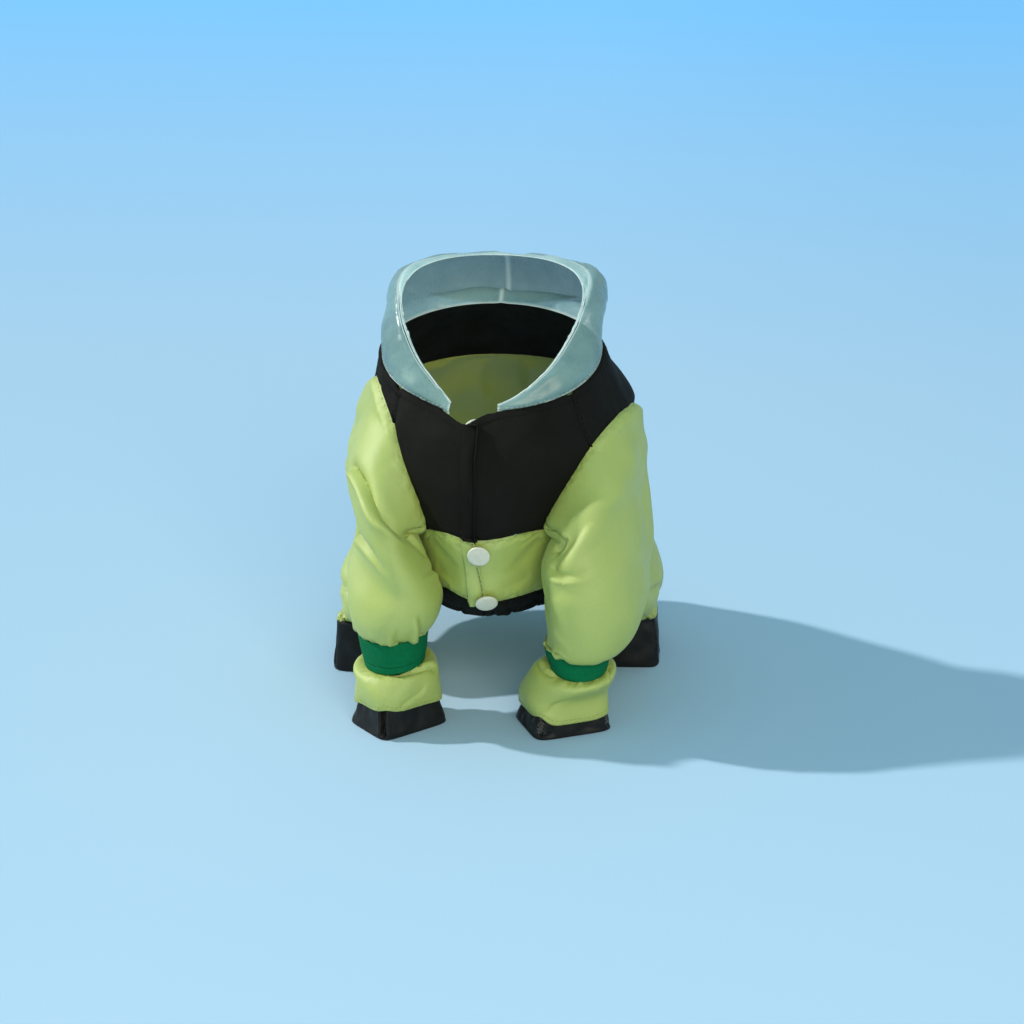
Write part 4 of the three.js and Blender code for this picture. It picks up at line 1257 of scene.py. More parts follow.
@dataclass
class Body:
    """The yoke, the belly, the back and the hem, each a panel cut along the form's seams."""

    finishes: Finishes
    sewing: Sewing
    cloths: dict[str, Cloth] = field(default_factory=dict)

    def panel(self, name: str, places: Array, borders: dict[str, Border]) -> Cloth:
        """Lays a panel on the form.

        Args:
            name: The panel's name.
            places: Its grid of turn and down.
            borders: How its borders end.

        Returns:
            The panel, smooth as yet.
        """
        points = drawn_in(FORM.point(places), CLOTH / 2 - SEAM_OVERLAP)
        cloth = Cloth(name, points, FORM.point, FORM.HEART, borders=borders)
        self.cloths[name] = cloth
        return cloth

    def front_yoke(self, side: Side) -> Cloth:
        """Half of the black front, from the neckline to the chest seam."""
        s = SEAMS[side]
        top_down = float(neck_down(centre_turn(0)))
        right = joined(s.shoulder, s.front[::-1])
        left = centre_run(top_down, CHEST_SEAM_DOWN, 9)
        borders = {"top": Border.HEMMED, "bottom": Border.SEWN, "right": Border.SEWN}
        cloth = self.panel(f"front_yoke_{side.word}", patch(s.neck, s.chest, left, right), borders)
        cloth.crumple(11 + side.value, 34, 0.45)
        cloth.pucker(21 + side.value, height=0.14)
        return cloth

    def belly(self, side: Side) -> Cloth:
        """Half of the lime front below the chest seam."""
        s = SEAMS[side]
        top = joined(s.chest, s.bottom[::-1])
        left = centre_run(CHEST_SEAM_DOWN, LIME_END, 5)
        borders = {"top": Border.SEWN, "bottom": Border.SEWN, "right": Border.SEWN}
        cloth = self.panel(f"belly_{side.word}", patch(top, s.lime_end, left, s.side), borders)
        cloth.lay(*BELLY_FOLDS[side])
        cloth.crumple(31 + side.value, 26, 0.3)
        cloth.pucker(41 + side.value)
        return cloth

    def hem(self, side: Side) -> Cloth:
        """Half of the black hem, under the belly's lower edge."""
        end = side.value * HEM_BAND_TURN
        top = hem_run(end, HEM_STEPS)
        bottom = spread([(float(centre_turn(HEM_END)), HEM_END), (end, HEM_END)], HEM_STEPS * FINE)
        left = centre_run(LIME_END, HEM_END, 1)
        right = spread([top[-1], (end, HEM_END)], FINE)
        borders = {"top": Border.SEWN, "bottom": Border.HEMMED}
        cloth = self.panel(f"hem_{side.word}", patch(top, bottom, left, right), borders)
        cloth.lay(*HEM_FOLDS[side])
        cloth.crumple(51 + side.value, 14, 0.4)
        cloth.pucker(61 + side.value)
        return cloth

    def yoke_back_line(self) -> Array:
        """The seam across the back between the two armholes."""
        left, right = SEAMS[Side.LEFT].back[0], past_spine(SEAMS[Side.RIGHT].back)[0]
        return spread([left, (180, 2.95), right], BACK_STEPS * FINE)

    def back_yoke(self) -> Cloth:
        """The black yoke over both shoulders and the nape."""
        left, right = SEAMS[Side.LEFT], SEAMS[Side.RIGHT]
        top = neck_run(SHOULDER_TURN, 360 - SHOULDER_TURN, 7 + BACK_STEPS + 7)
        bottom = joined(left.top, self.yoke_back_line(), past_spine(right.top[::-1]))
        places = patch(top, bottom, left.shoulder, past_spine(right.shoulder))
        borders = {"bottom": Border.SEWN, "left": Border.SEWN, "right": Border.SEWN, "top": Border.HEMMED}
        cloth = self.panel("back_yoke", places, borders)
        cloth.crumple(71, 36, 0.5)
        cloth.pucker(72, height=0.16)
        return cloth

    def back(self) -> Cloth:
        """The lime back, from the yoke to the seat and the hind legs."""
        left, right = SEAMS[Side.LEFT], SEAMS[Side.RIGHT]
        top = joined(left.back[::-1], self.yoke_back_line(), past_spine(right.back))
        bottom = joined(left.leg, left.rear, past_spine(right.rear[::-1]), past_spine(right.leg[::-1]))
        places = patch(top, bottom, left.side, past_spine(right.side))
        cloth = self.panel("back", places, dict.fromkeys(("top", "bottom", "left", "right"), Border.SEWN))
        cloth.lay(*BACK_FOLDS)
        cloth.crumple(81, 44, 0.7)
        cloth.pucker(83)
        return cloth

    def build(self) -> None:
        for side in Side:
            self.dress(self.front_yoke(side), "black")
            self.dress(self.belly(side), "lime")
            self.dress(self.hem(side), "black")
        self.dress(self.back_yoke(), "black")
        self.dress(self.back(), "lime")
        for name in ("front_yoke_left", "front_yoke_right", "back_yoke"):
            self.sewing.beside(self.cloths[name], "black_thread", top=STITCHED_HEM)
        for name in ("hem_left", "hem_right"):
            self.sewing.beside(self.cloths[name], "black_thread", bottom=STITCHED_HEM)
        shoulders = {"left": STITCHED_SEAM, "right": STITCHED_SEAM}
        self.sewing.beside(self.cloths["back_yoke"], "black_thread", **shoulders)
        for name in ("belly_left", "belly_right", "back"):
            self.sewing.beside(self.cloths[name], "lime_thread", top=STITCHED_SEAM)

    def dress(self, cloth: Cloth, colour: str) -> None:
        add_cloth(cloth, getattr(self.finishes, colour))


def add_cloth(
    cloth: Cloth, material: Material
) -> None:
    """Builds a piece of cloth in place of its node.

    Args:
        cloth: The finished cloth, named as its node is.
        material: Its finish.
    """
    obj = cloth.build(material)
    obj.name = f"{cloth.name}_cloth"
    stand_for(obj, cloth.name)
    log.info("%s: %d points, cut %.0f x %.0f mm", cloth.name, cloth.points[..., 0].size, *cloth.flat)


# ---- tubes


def ring_points(rows: Array, turns: Array) -> Array:
    """Rings through four points each.

    Args:
        rows: For each ring outX outY outZ inX inY inZ frontY frontZ backX backY backZ corners,
            where out is the side away from the body, and corners is 1 on an oval.
        turns: Places round the ring, 0 at the front and 90 on the outer side.

    Returns:
        Points as rings by turns.
    """
    cos, sin = np.cos(np.radians(turns))[None], np.sin(np.radians(turns))[None]
    out, inner, corners = rows[:, None, 0:3], rows[:, None, 3:6], rows[:, 11:12]
    middle = (out + inner) / 2
    front = middle.copy()
    front[..., 1:] = rows[:, None, 6:8]
    back = rows[:, None, 8:11]
    across = (np.sign(sin) * np.abs(sin) ** corners)[..., None]
    along = (np.abs(cos) ** corners)[..., None]
    end = np.where((cos >= 0)[..., None], front, back)
    return middle + (out - inner) / 2 * across + (end - middle) * along


def on_grid(grid: Array, turns: Array, alongs: Array) -> Callable[[Array], Array]:
    """A way to read a tube's grid at places given as turn and along.

    Args:
        grid: The tube's points, rows along and columns round.
        turns: Each column's turn, rising.
        alongs: Each row's place along.

    Returns:
        A function from rows of turn and along to points.
    """
    wide = np.concatenate([grid, grid[:, :1]], 1)
    wide_turns = np.append(turns, turns[0] + 360)

    def place(places: Array) -> Array:
        """Points at places."""
        turn = (places[:, 0] - turns[0]) % 360 + turns[0]
        i = np.interp(turn, wide_turns, np.arange(len(wide_turns)))
        j = np.interp(places[:, 1], alongs, np.arange(len(alongs)))
        i0, j0 = np.minimum(i.astype(int), wide.shape[1] - 2), np.minimum(j.astype(int), wide.shape[0] - 2)
        fi, fj = (i - i0)[:, None], (j - j0)[:, None]
        upper = wide[j0, i0] * (1 - fi) + wide[j0, i0 + 1] * fi
        lower = wide[j0 + 1, i0] * (1 - fi) + wide[j0 + 1, i0 + 1] * fi
        return upper * (1 - fj) + lower * fj

    return place


def even_alongs(stations: Array, rows: int) -> Array:
    """Places along a tube, counted in rings, that spread rows evenly by its length."""
    rings = np.linspace(0, len(stations) - 1, 8 * len(stations))
    steps = np.linalg.norm(np.diff(catmull(stations, rings), axis=0), axis=2).mean(1)
    length = np.concatenate([[0], np.cumsum(steps)])
    return np.interp(np.linspace(0, length[-1], rows), length, rings)


def tube(name: str, stations: Array, turns: Array, rows: int, wall: float = CLOTH) -> Cloth:
    """A tube of cloth through a few rings.

    Args:
        name: Its name.
        stations: The rings, as rings by turns by three.
        turns: Each column's turn.
        rows: How many fine rows to spread along it.
        wall: The thickness of its cloth.

    Returns:
        The tube, with rows evenly spread by length and its places counted in rings along.
    """
    alongs = even_alongs(stations, rows)
    grid = catmull(stations, alongs)
    return Cloth(name, grid, on_grid(grid, turns, alongs), wall=wall, wraps=True)


def gathers(
    cloth: Cloth, turns: Array, border: str, count: int, depth: float, reach: float, seed: int
) -> None:
    """Draws a tube's end into uneven pleats.

    Args:
        cloth: The tube.
        turns: Each column's turn.
        border: The end that is gathered, top or bottom.
        count: About how many pleats there are.
        depth: Their height at the end.
        reach: How far they run from the end, in millimetres.
        seed: Fixes their spread.
    """
    draw = np.random.default_rng(seed)
    angle = np.radians(turns)

    def wave(waves: int, height: float, way: Array) -> Array:
        """A wave round the tube that starts at a random place."""
        return height * np.sin(waves * way + draw.uniform(0, 6))

    angle = angle + wave(2, 0.22, angle) + wave(3, 0.12, angle)
    pleats = np.sin(count * angle) + wave(count * 2 - 3, 0.45, angle)
    uneven = 1 + wave(2, 0.5, angle)
    lengths = reach * (1 + wave(3, 0.35, angle))
    away = cloth.to_border(border)
    cloth.push(depth * pleats * uneven * np.exp(-away / lengths) * smooth_step(0, 1.5, away))


def round_turns(count: int) -> Array:
    """Turns evenly spread round a tube."""
    return np.linspace(0, 360, count, endpoint=False)


@dataclass
class Sleeve:
    """A front sleeve, from its armhole to the wrist band."""

    CORNERS = (-42, 38, 152, 218, 318)  # turns at which the armhole's seams meet

    side: Side
    rings: Array
    folds: tuple[Fold, ...]
    wrist: Array
    finish: Material
    sewing: Sewing
    rows: int = 150
    gap: float = 3.4  # least height above the body that it hangs against

    def turns(self) -> Array:
        """Each column's turn: the armhole's seams start at fixed turns."""
        runs = [getattr(SEAMS[self.side], name) for name in ("front", "top", "back", "bottom")]
        spans = zip(runs, self.CORNERS, self.CORNERS[1:])
        return np.concatenate([np.linspace(start, stop, len(run))[:-1] for run, start, stop in spans])

    def build(self) -> None:
        turns = self.turns()
        armhole = FORM.point(SEAMS[self.side].armhole())
        rings = FORM.clear(ring_points(self.rings, turns), self.gap)
        stations = np.concatenate([armhole[None], rings, ring_points(self.wrist[:1], turns)])
        cloth = tube(f"sleeve_{self.side.word}", stations, turns, self.rows)
        away = cloth.to_border("top")
        cloth.points = FORM.clear(cloth.points, np.minimum(0.7 * away, self.gap))
        cloth.place = on_grid(cloth.points, turns, even_alongs(stations, self.rows))
        cloth.borders = {"top": Border.SEWN, "bottom": Border.SEWN}
        cloth.lay(*self.folds)
        seed = 100 + 10 * self.side.value
        gathers(cloth, turns, "bottom", 9, 0.7, 9, seed)
        gathers(cloth, turns, "top", 21, 0.22, 7, seed + 1)
        cloth.crumple(seed + 2, 34, 0.35)
        cloth.pucker(seed + 4)
        self.sewing.beside(cloth, "lime_thread", top=STITCHED_SEAM)
        add_cloth(cloth, self.finish)


SLEEVE_RINGS = {
    Side.LEFT: np.array([
        # outX outY outZ  inX inY inZ  frontY frontZ  backX backY backZ  corners
        [88, 22, 163, 45, -24, 119, -46, 139, 80, 52, 136, 1],
        [90, 10, 140, 38.5, -31, 107, -56, 118, 80, 42, 119, 1],
        [95, 2, 117, 38, -32, 97, -60, 100, 80, 30, 103, 1],
        [96, -7, 97, 39, -31, 87, -61, 84, 77, 17, 89, 1],
        [97, -14, 79, 40, -31, 74, -60, 69, 74, 6, 73, 1],
        [92, -20, 63, 41, -31, 62, -57, 55, 67, -3, 60, 1],
        [83, -25, 54, 40.5, -32, 55.5, -53.5, 50.5, 61, -9, 55.5, 1],
        [78, -28, 55, 38, -32, 56, -52, 53.5, 58, -10.5, 56.5, 1],
    ]),
    Side.RIGHT: np.array([
        [-80, 22, 168, -41.5, -24, 119.5, -46, 144, -77, 52, 138, 1],
        [-84, 12, 148, -34, -30, 107, -55, 123, -79, 42, 120, 1],
        [-77, 2, 125, -29.5, -31, 99, -58, 105, -75, 28, 105, 1],
        [-76, -9, 109, -26, -32, 91, -58, 92, -69, 15, 92, 1],
        [-80.5, -18, 90, -24, -32, 83, -60, 79, -67, 5, 81, 1],
        [-80, -24, 74, -26, -32, 72, -59, 69, -60, -3, 70, 1],
        [-77, -28, 61.5, -31, -32, 63, -54.5, 59.5, -56, -8, 62, 1],
        [-75, -29, 59, -32.5, -31, 61, -53, 59.5, -54, -10, 62, 1],
    ]),
}
BAND_RINGS = {
    Side.LEFT: np.array([
        [75.5, -29, 51, 39.5, -32, 52.5, -49, 50, 57.5, -13, 53, 1],
        [75, -31, 45, 41, -33, 48, -50, 43, 58, -15, 48, 1],
        [74, -33, 40.5, 43, -34, 43, -50, 38, 58.5, -18, 43, 1],
    ]),
    Side.RIGHT: np.array([
        [-73, -30, 55, -34, -31, 57.5, -50.5, 56, -53.5, -12, 58.5, 1],
        [-71, -31, 46, -35, -32, 49, -51, 47, -53, -14, 50, 1],
        [-69, -32, 38, -36, -33, 41, -51, 38, -52.5, -16, 42, 1],
    ]),
}
# Places are turn and along: along counts the rings above, with the armhole at 0 and the wrist at 9.
# The folds' columns are those of the body's folds.
SLEEVE_FOLDS = {
    Side.RIGHT: (
        # the deep crease round the elbow, from the outer side to the armpit
        Fold(
            ((62, 1.9), (50, 1.35), (20, 1.05), (-11, 1.05), (-34, 1.0), (-67, 1.2)),
            5.5, 4.8, 0.8, -1, 0.2, (0.25, 0.3),
        ),
        # its lower companion, fading towards the front
        Fold(((110, 4.5), (85, 3.8), (45, 3.0), (10, 2.7), (-12, 2.9)), 5.5, 3.6, 0.8, -1, 0.2, (0.25, 0.5)),
        # gathers fanning out of the armpit
        Fold(((-41, 0.15), (-62, 0.9), (-84, 1.6)), 3.2, 1.8, 0.6, 1, 0.3, (0.1, 0.4)),
        Fold(((-44, 0.3), (-75, 1.3), (-92, 2.4)), 3.6, 1.9, 0.6, 1, 0.3, (0.2, 0.5)),
        Fold(((-60, 2.6), (-84, 3.0), (-100, 3.6)), 4.0, 1.8, 0.6, -1, 0.3, (0.5, 0.3)),
        # creases running up from the band
        Fold(((-62, 8.6), (-52, 7.2), (-42, 5.6), (-38, 4.8)), 3.4, 3.4, 0.8, 1, 0.2),
        Fold(((-24, 8.8), (-16, 7.4), (-12, 6.4), (-18, 5.4)), 3.4, 2.6, 0.8, 1, 0.25),
        Fold(((14, 8.8), (20, 7.6), (30, 6.6)), 4.0, 1.3, 0.6, -1, 0.4),
        Fold(((66, 8.8), (60, 7.6), (52, 6.2)), 4.0, 1.8, 0.6, 1, 0.35),
        # the outer and hind sides
        Fold(((140, 1.4), (112, 2.0), (92, 3.0), (84, 3.6)), 6.5, 2.4, 0.35, -1, 0.9, (0.3, 0.5)),
        Fold(((205, 2.4), (170, 2.9), (135, 3.4), (112, 4.4)), 6.0, 2.6, 0.35, -1, 0.9, (0.4, 0.4)),
        Fold(((160, 4.4), (130, 5.0), (104, 5.4), (84, 5.6)), 6.0, 2.0, 0.35, -1, 0.9, (0.4, 0.5)),
        Fold(((120, 8.8), (128, 7.4), (142, 6.2)), 4.0, 1.7, 0.6, 1, 0.35),
        Fold(((185, 8.8), (180, 7.4), (168, 6.4)), 4.0, 1.6, 0.6, 1, 0.35),
    ),
    Side.LEFT: (
        # the pinched lobe at the armpit, and the soft ridge that runs up from it
        Fold(((-36, 0.1), (-38, 0.6), (-52, 1.1), (-72, 1.4)), 3.4, 2.6, 0.8, 1, 0.22, (0.1, 0.3)),
        Fold(
            ((-70, 1.3), (-40, 1.1), (-18, 0.95), (6, 1.15), (36, 1.6), (66, 2.1)),
            8.0, 2.6, 0.6, 1, 0.5, (0.1, 0.5),
        ),
        # the pocket under the ridge, and the shallow trough below it
        Fold(((-58, 1.7), (-42, 2.0), (-16, 2.3), (12, 2.5)), 4.6, 3.2, 0.6, -1, 0.35, (0.15, 0.6)),
        Fold(((-50, 2.5), (-30, 2.75), (-6, 3.0), (20, 3.3)), 9.0, 1.8, 0.3, -1, 0.9, (0.3, 0.6)),
        Fold(((-84, 2.2), (-70, 2.9), (-52, 3.3)), 4.2, 1.8, 0.5, -1, 0.5, (0.3, 0.4)),
        Fold(((-92, 3.8), (-72, 4.4), (-50, 4.8)), 5.0, 1.5, 0.6, -1, 0.4, (0.3, 0.6)),
        # creases running up from the band
        Fold(((-74, 8.7), (-66, 7.4), (-58, 6.2)), 3.4, 1.8, 0.6, 1, 0.3),
        Fold(((-30, 8.8), (-26, 7.8), (-16, 7.0)), 3.6, 2.3, 0.8, 1, 0.25),
        Fold(((12, 8.8), (16, 7.9), (22, 7.2)), 3.4, 1.4, 0.6, -1, 0.35),
        Fold(((54, 8.8), (60, 7.6), (70, 6.6)), 4.6, 1.6, 0.6, 1, 0.4),
        # the outer and hind sides
        Fold(((138, 1.2), (112, 1.7), (88, 2.6), (76, 3.4)), 7.0, 2.4, 0.35, -1, 0.9, (0.3, 0.5)),
        Fold(((204, 2.6), (172, 3.0), (138, 3.8), (108, 4.6)), 6.0, 2.5, 0.35, -1, 0.9, (0.4, 0.4)),
        Fold(((158, 5.2), (126, 5.6), (96, 5.7)), 6.5, 2.0, 0.35, -1, 0.9, (0.4, 0.5)),
        Fold(((118, 8.8), (126, 7.4), (140, 6.4)), 4.2, 1.7, 0.6, 1, 0.35),
        Fold(((186, 8.8), (182, 7.4), (170, 6.2)), 4.2, 1.6, 0.6, 1, 0.35),
    ),
}


# ---- boots


@dataclass(frozen=True)
class Crease:
    """A pinched crease up a boot's side: where it stands, and how it leans and bites."""

    turn: float  # on the boot's outline, from its toe
    depth: float
    width: float
    slant: float = 0.0  # how far it moves along the outline from the sole to the rim


@dataclass(frozen=True)
class Boot:
    """A boot as a bag with four soft corners."""

    COLUMNS = 150  # points round it
    EDGE = 1.2  # radius of the edge round the sole

    name: str
    x: float
    y: float
    width: float
    length: float
    height: float
    heading: float  # how far its long side is turned
    lean: float  # how far its top is drawn in
    creases: tuple[Crease, ...] = ()
    # scales how near each point is to a crease: this deepens the cracks, makes them glossier and paints
    # glints there
    glints: float = 0.0  # how brightly the cracked coating shines at the creases

    def ring(self, inset: Array | float, z: Array | float, turns: Array, corners: float = 0.3) -> Array:
        """A ring inset from the sole's outline, at turns from the toe; fewer corners are squarer."""
        cos, sin = np.cos(np.radians(turns)), np.sin(np.radians(turns))
        across = (self.width / 2 - inset) * np.sign(sin) * np.abs(sin) ** corners
        along = (self.length / 2 - inset) * np.sign(cos) * np.abs(cos) ** corners
        turn = math.radians(self.heading)
        x = self.x + across * math.cos(turn) + along * math.sin(turn)
        y = self.y + across * math.sin(turn) - along * math.cos(turn)
        return np.stack([x, y, np.broadcast_to(z, x.shape)], -1)

    def rim(self, turns: Array) -> Array:
        """The rim, where the cloth above is sewn on."""
        return self.ring(self.lean + 0.3, self.height + 0.15, turns)

    def even_turns(self, count: int) -> Array:
        """Turns that put points evenly round the outline, so that the corners aren't starved."""
        turns = np.linspace(0, 360, 7200)
        length = length_to(self.ring(0, 0, turns))
        return np.interp(np.linspace(0, length[-1], count, endpoint=False), length, turns)

    def build(self, finish: Material) -> None:
        """Builds the boot: sole, rounded edge, sides, rolled rim and lining down to the insole."""
        turns = self.even_turns(self.COLUMNS)
        rings = np.stack([self.ring(inset, z, turns) for inset, z in self.profile()])
        rings, near = self.creased(rings, turns)
        points = np.concatenate([rings.reshape(-1, 3), [[self.x, self.y, 0.0], [self.x, self.y, SOLE]]])
        faces = turned_faces(len(rings), len(turns), 0, len(points) - 2, len(points) - 1)
        # crease nearness times the painted glints' strength: drives the cracks, the gloss and the painted
        # glints
        seam = np.concatenate([near.ravel() * self.glints, [0.0, 0.0]])
        obj = mesh_object(f"{self.name}_bag", points, faces, finish, seam=seam)
        stand_for(obj, self.name)
        log.info("%s: %d faces", self.name, len(faces))

    def profile(self) -> list[tuple[float, float]]:
        """Inset and height from the sole's middle, round the edge, up, over and down inside."""
        top = self.height - 0.1
        edge_radius = self.EDGE
        sole = [(inset, 0.0) for inset in (14.0, 9.0, 5.0, 2.5, 1.3)]
        edge = [
            (edge_radius - edge_radius * math.sin(angle), edge_radius - edge_radius * math.cos(angle))
            for angle in (0.4, 0.8, 1.2)
        ]
        side = [(self.lean * z / self.height, z) for z in np.linspace(1.8, self.height - 1.0, 26)]
        rolled = ((0.1, top - 0.4), (0.5, top), (1.1, top), (1.5, top - 0.4))
        rim = [(self.lean + inset, z) for inset, z in rolled]
        down = np.linspace(self.height - 1.2, SOLE + 0.6, 10)
        inside = [(self.lean * z / self.height + BOOT_WALL, z) for z in down]
        insole = [(BOOT_WALL + inset, SOLE) for inset in (1.0, 4.0, 9.0, 13.0)]
        return sole + edge + side + rim + inside + insole

    def creased(self, rings: Array, turns: Array) -> tuple[Array, Array]:
        """Pinches and crumples the sides unevenly, and leaves the sole flat on the ground.

        Args:
            rings: The boot's points, as rings by turns by three.
            turns: Each column's turn from the toe.

        Returns:
            The points, moved, and how near each one is to a crease, 0 to 1.
        """
        z = rings[..., 2]
        ways = unit(np.concatenate([rings[..., :2] - [self.x, self.y], np.zeros_like(z)[..., None]], 2))
        free = smooth_step(0.6, 4, z) * smooth_step(self.height, self.height - 2, z)
        moved = 0.45 * Wander(len(self.name), 17).at(rings) + 0.18 * Wander(7, 7).at(rings)
        outline = self.ring(0.0, 0.0, turns)
        length = length_to(outline)
        round_length = length[-1] + np.linalg.norm(outline[0] - outline[-1])
        near = np.zeros_like(z)
        for crease in self.creases:
            middle = np.interp(crease.turn % 360, turns, length) + crease.slant * z / self.height
            x = (length - middle + round_length / 2) % round_length - round_length / 2
            bite = np.exp(-2 * (np.sqrt((x / crease.width) ** 2 + 0.04) - 0.2))
            lips = np.exp(-(((np.abs(x) / crease.width - 1.4) / 0.7) ** 2))
            moved += crease.depth * (0.35 * lips - bite)
            near = np.maximum(near, np.exp(-((x / (4.5 * crease.width)) ** 2)) * smooth_step(1, 4, z))
        return rings + ways * (free * moved)[..., None], near


BOOTS = (
    # name, x, y, width, length, height, heading, lean; then the creases' turn, depth, width and slant
    Boot(
        "boot_front_left", 49, -28, 50, 43, 17, 26, 4, glints=1.0,
        creases=(Crease(312, 4.0, 1.7, 2), Crease(48, 1.2, 1.4, -1), Crease(190, 1.2, 2.0, 1)),
    ),
    Boot(
        "boot_front_right", -50, -37, 49, 40, 19, 43, 4, glints=0.3,
        creases=(Crease(306, 5.2, 2.2, -1.5), Crease(50, 2.2, 1.4, 1), Crease(175, 1.2, 2.0, -1)),
    ),
    Boot(
        "boot_hind_left", 83, 88, 37, 60, 33, 4, 2.5, glints=0.3,
        creases=(
            Crease(318, 1.6, 1.6, 1), Crease(44, 1.4, 1.5, -1),
            Crease(95, 1.2, 2.4, 3), Crease(230, 1.3, 2.2, -2),
        ),
    ),
    Boot(
        "boot_hind_right", -83, 62, 37, 60, 33, -6, 2.5, glints=0.3,
        creases=(
            Crease(315, 1.5, 1.6, -1), Crease(46, 1.6, 1.6, 1),
            Crease(265, 1.3, 2.4, -3), Crease(130, 1.2, 2.0, 2),
        ),
    ),
)


def boot_of(end: str, side: Side) -> Boot:
    """The front or hind boot of a side."""
    return next(boot for boot in BOOTS if boot.name == f"boot_{end}_{side.word}")


def turns_on_boot(boot: Boot, side: Side, turns: Array) -> Array:
    """A leg ring's turns, counted from the boot's own toe."""
    return side.value * turns - boot.heading


# ---- bands and gaiters


@dataclass
class Band:
    """A green elastic band round a wrist, with vertical ribs and a sewn lower edge."""

    RIB = 1.3  # from one rib to the next
    SEAM = 3.6  # from the lower edge to the groove of its seam

    side: Side
    rings: Array
    finish: Material

    def build(self) -> None:
        turns = round_turns(240)
        cloth = tube(f"band_{self.side.word}", ring_points(self.rings, turns), turns, 34, ELASTIC)
        cloth.borders = {"top": Border.PLAIN, "bottom": Border.PLAIN}
        across = cloth.runs()[0][:, :-1]
        cloth.push(0.04 * np.sin(2 * math.pi * across / self.RIB))
        from_seam = cloth.to_border("bottom") - self.SEAM
        cloth.push(-0.35 * np.exp(-((from_seam / 0.5) ** 2)))
        cloth.crumple(130 + self.side.value, 16, 0.18)
        add_cloth(cloth, self.finish)


@dataclass
class Gaiter:
    """The lime cuff between a band and its boot, puffed out over the boot's rim."""

    side: Side
    rings: Array
    drops: Places  # turn, and how far the cloth hangs down over the boot's rim
    folds: tuple[Fold, ...]
    finish: Material
    sewing: Sewing

    def stations(self, turns: Array) -> Array:
        """The gaiter's rings, from the band down to the cloth's lower edge over the boot."""
        boot = boot_of("front", self.side)
        rim_turns = turns_on_boot(boot, self.side, turns)
        overhang = boot.ring(1.2, boot.height + 6, rim_turns, 0.62)
        table = np.array(self.drops)
        drop = np.interp(turns, table[:, 0], table[:, 1], period=360)
        for _ in range(6):
            drop = (np.roll(drop, 3) + drop + np.roll(drop, -3)) / 3
        z = boot.height - drop
        edge = boot.ring(boot.lean * np.minimum(z / boot.height, 1) - 0.9, z, rim_turns, 0.36)
        return np.concatenate([ring_points(self.rings, turns), overhang[None], edge[None]])

    def build(self) -> None:
        turns = round_turns(240)
        cloth = tube(f"gaiter_{self.side.word}", self.stations(turns), turns, 76)
        cloth.borders = {"top": Border.SEWN, "bottom": Border.PLAIN}
        cloth.lay(*self.folds)
        seed = 140 + 10 * self.side.value
        gathers(cloth, turns, "top", 8, 0.35, 5, seed)
        cloth.crumple(seed + 1, 24, 0.3)
        cloth.pucker(seed + 2)
        self.sewing.beside(cloth, "lime_thread", bottom=2.2)
        add_cloth(cloth, self.finish)


GAITER_RINGS = {
    Side.LEFT: np.array([
        [74, -33, 39, 43, -34, 41.5, -50, 36.5, 58.5, -18, 42, 1],
        [80, -31, 37.5, 33, -33, 38.5, -55, 33, 57, -8, 39, 1],
    ]),
    Side.RIGHT: np.array([
        [-69, -32, 36.5, -36, -33, 39.5, -51, 36.5, -52.5, -16, 41, 1],
        [-76, -35, 35, -29, -33, 38, -56, 34, -52.5, -9, 38, 1],
    ]),
}
GAITER_DROPS = {
    Side.LEFT: ((-150, 3), (-80, 5), (-22, 2), (18, 8.5), (50, 7), (85, 6), (160, 3)),
    Side.RIGHT: ((-150, 3), (-85, 3.5), (-40, 2.5), (0, 0), (40, 2), (90, 5.5), (160, 3)),
}
# Places are turn and along: along counts the band's seam as 0 and the lower edge as 3.
GAITER_FOLDS = {
    Side.LEFT: (
        Fold(((262, 0.9), (282, 0.8), (304, 0.55), (322, 0.35)), 2.6, 1.5, 0.8, 1, 0.25, (0.2, 0.4)),
        Fold(((92, 0.1), (78, 0.5), (64, 1.0), (58, 1.5)), 2.4, 2.0, 0.8, -1, 0.2, (0.1, 0.5)),
        Fold(((-4, 2.6), (8, 1.9), (26, 1.3)), 3.2, 0.9, 0.6, 1, 0.4, (0.2, 0.6)),
        Fold(((170, 0.3), (196, 0.9), (214, 1.7)), 3.2, 1.5, 0.7, 1, 0.3, (0.1, 0.5)),
    ),
    Side.RIGHT: (
        # the recess under the band, and the crisp rim below it
        Fold(
            ((24, 0.1), (-12, 0.22), (-44, 0.5), (-66, 0.95), (-84, 1.45)),
            3.2, 2.6, 0.9, 1, 0.2, (0.3, 0.15),
        ),
        Fold(((58, 1.3), (78, 1.7), (100, 1.8)), 3.4, 1.0, 0.4, 1, 0.6, (0.35, 0.45)),
        Fold(((-30, 2.7), (-44, 2.0), (-52, 1.4)), 3.0, 0.9, 0.6, -1, 0.4, (0.2, 0.6)),
        Fold(((166, 0.3), (190, 1.0), (206, 1.8)), 3.2, 1.5, 0.7, -1, 0.3, (0.1, 0.5)),
    ),
}


# ---- hind legs


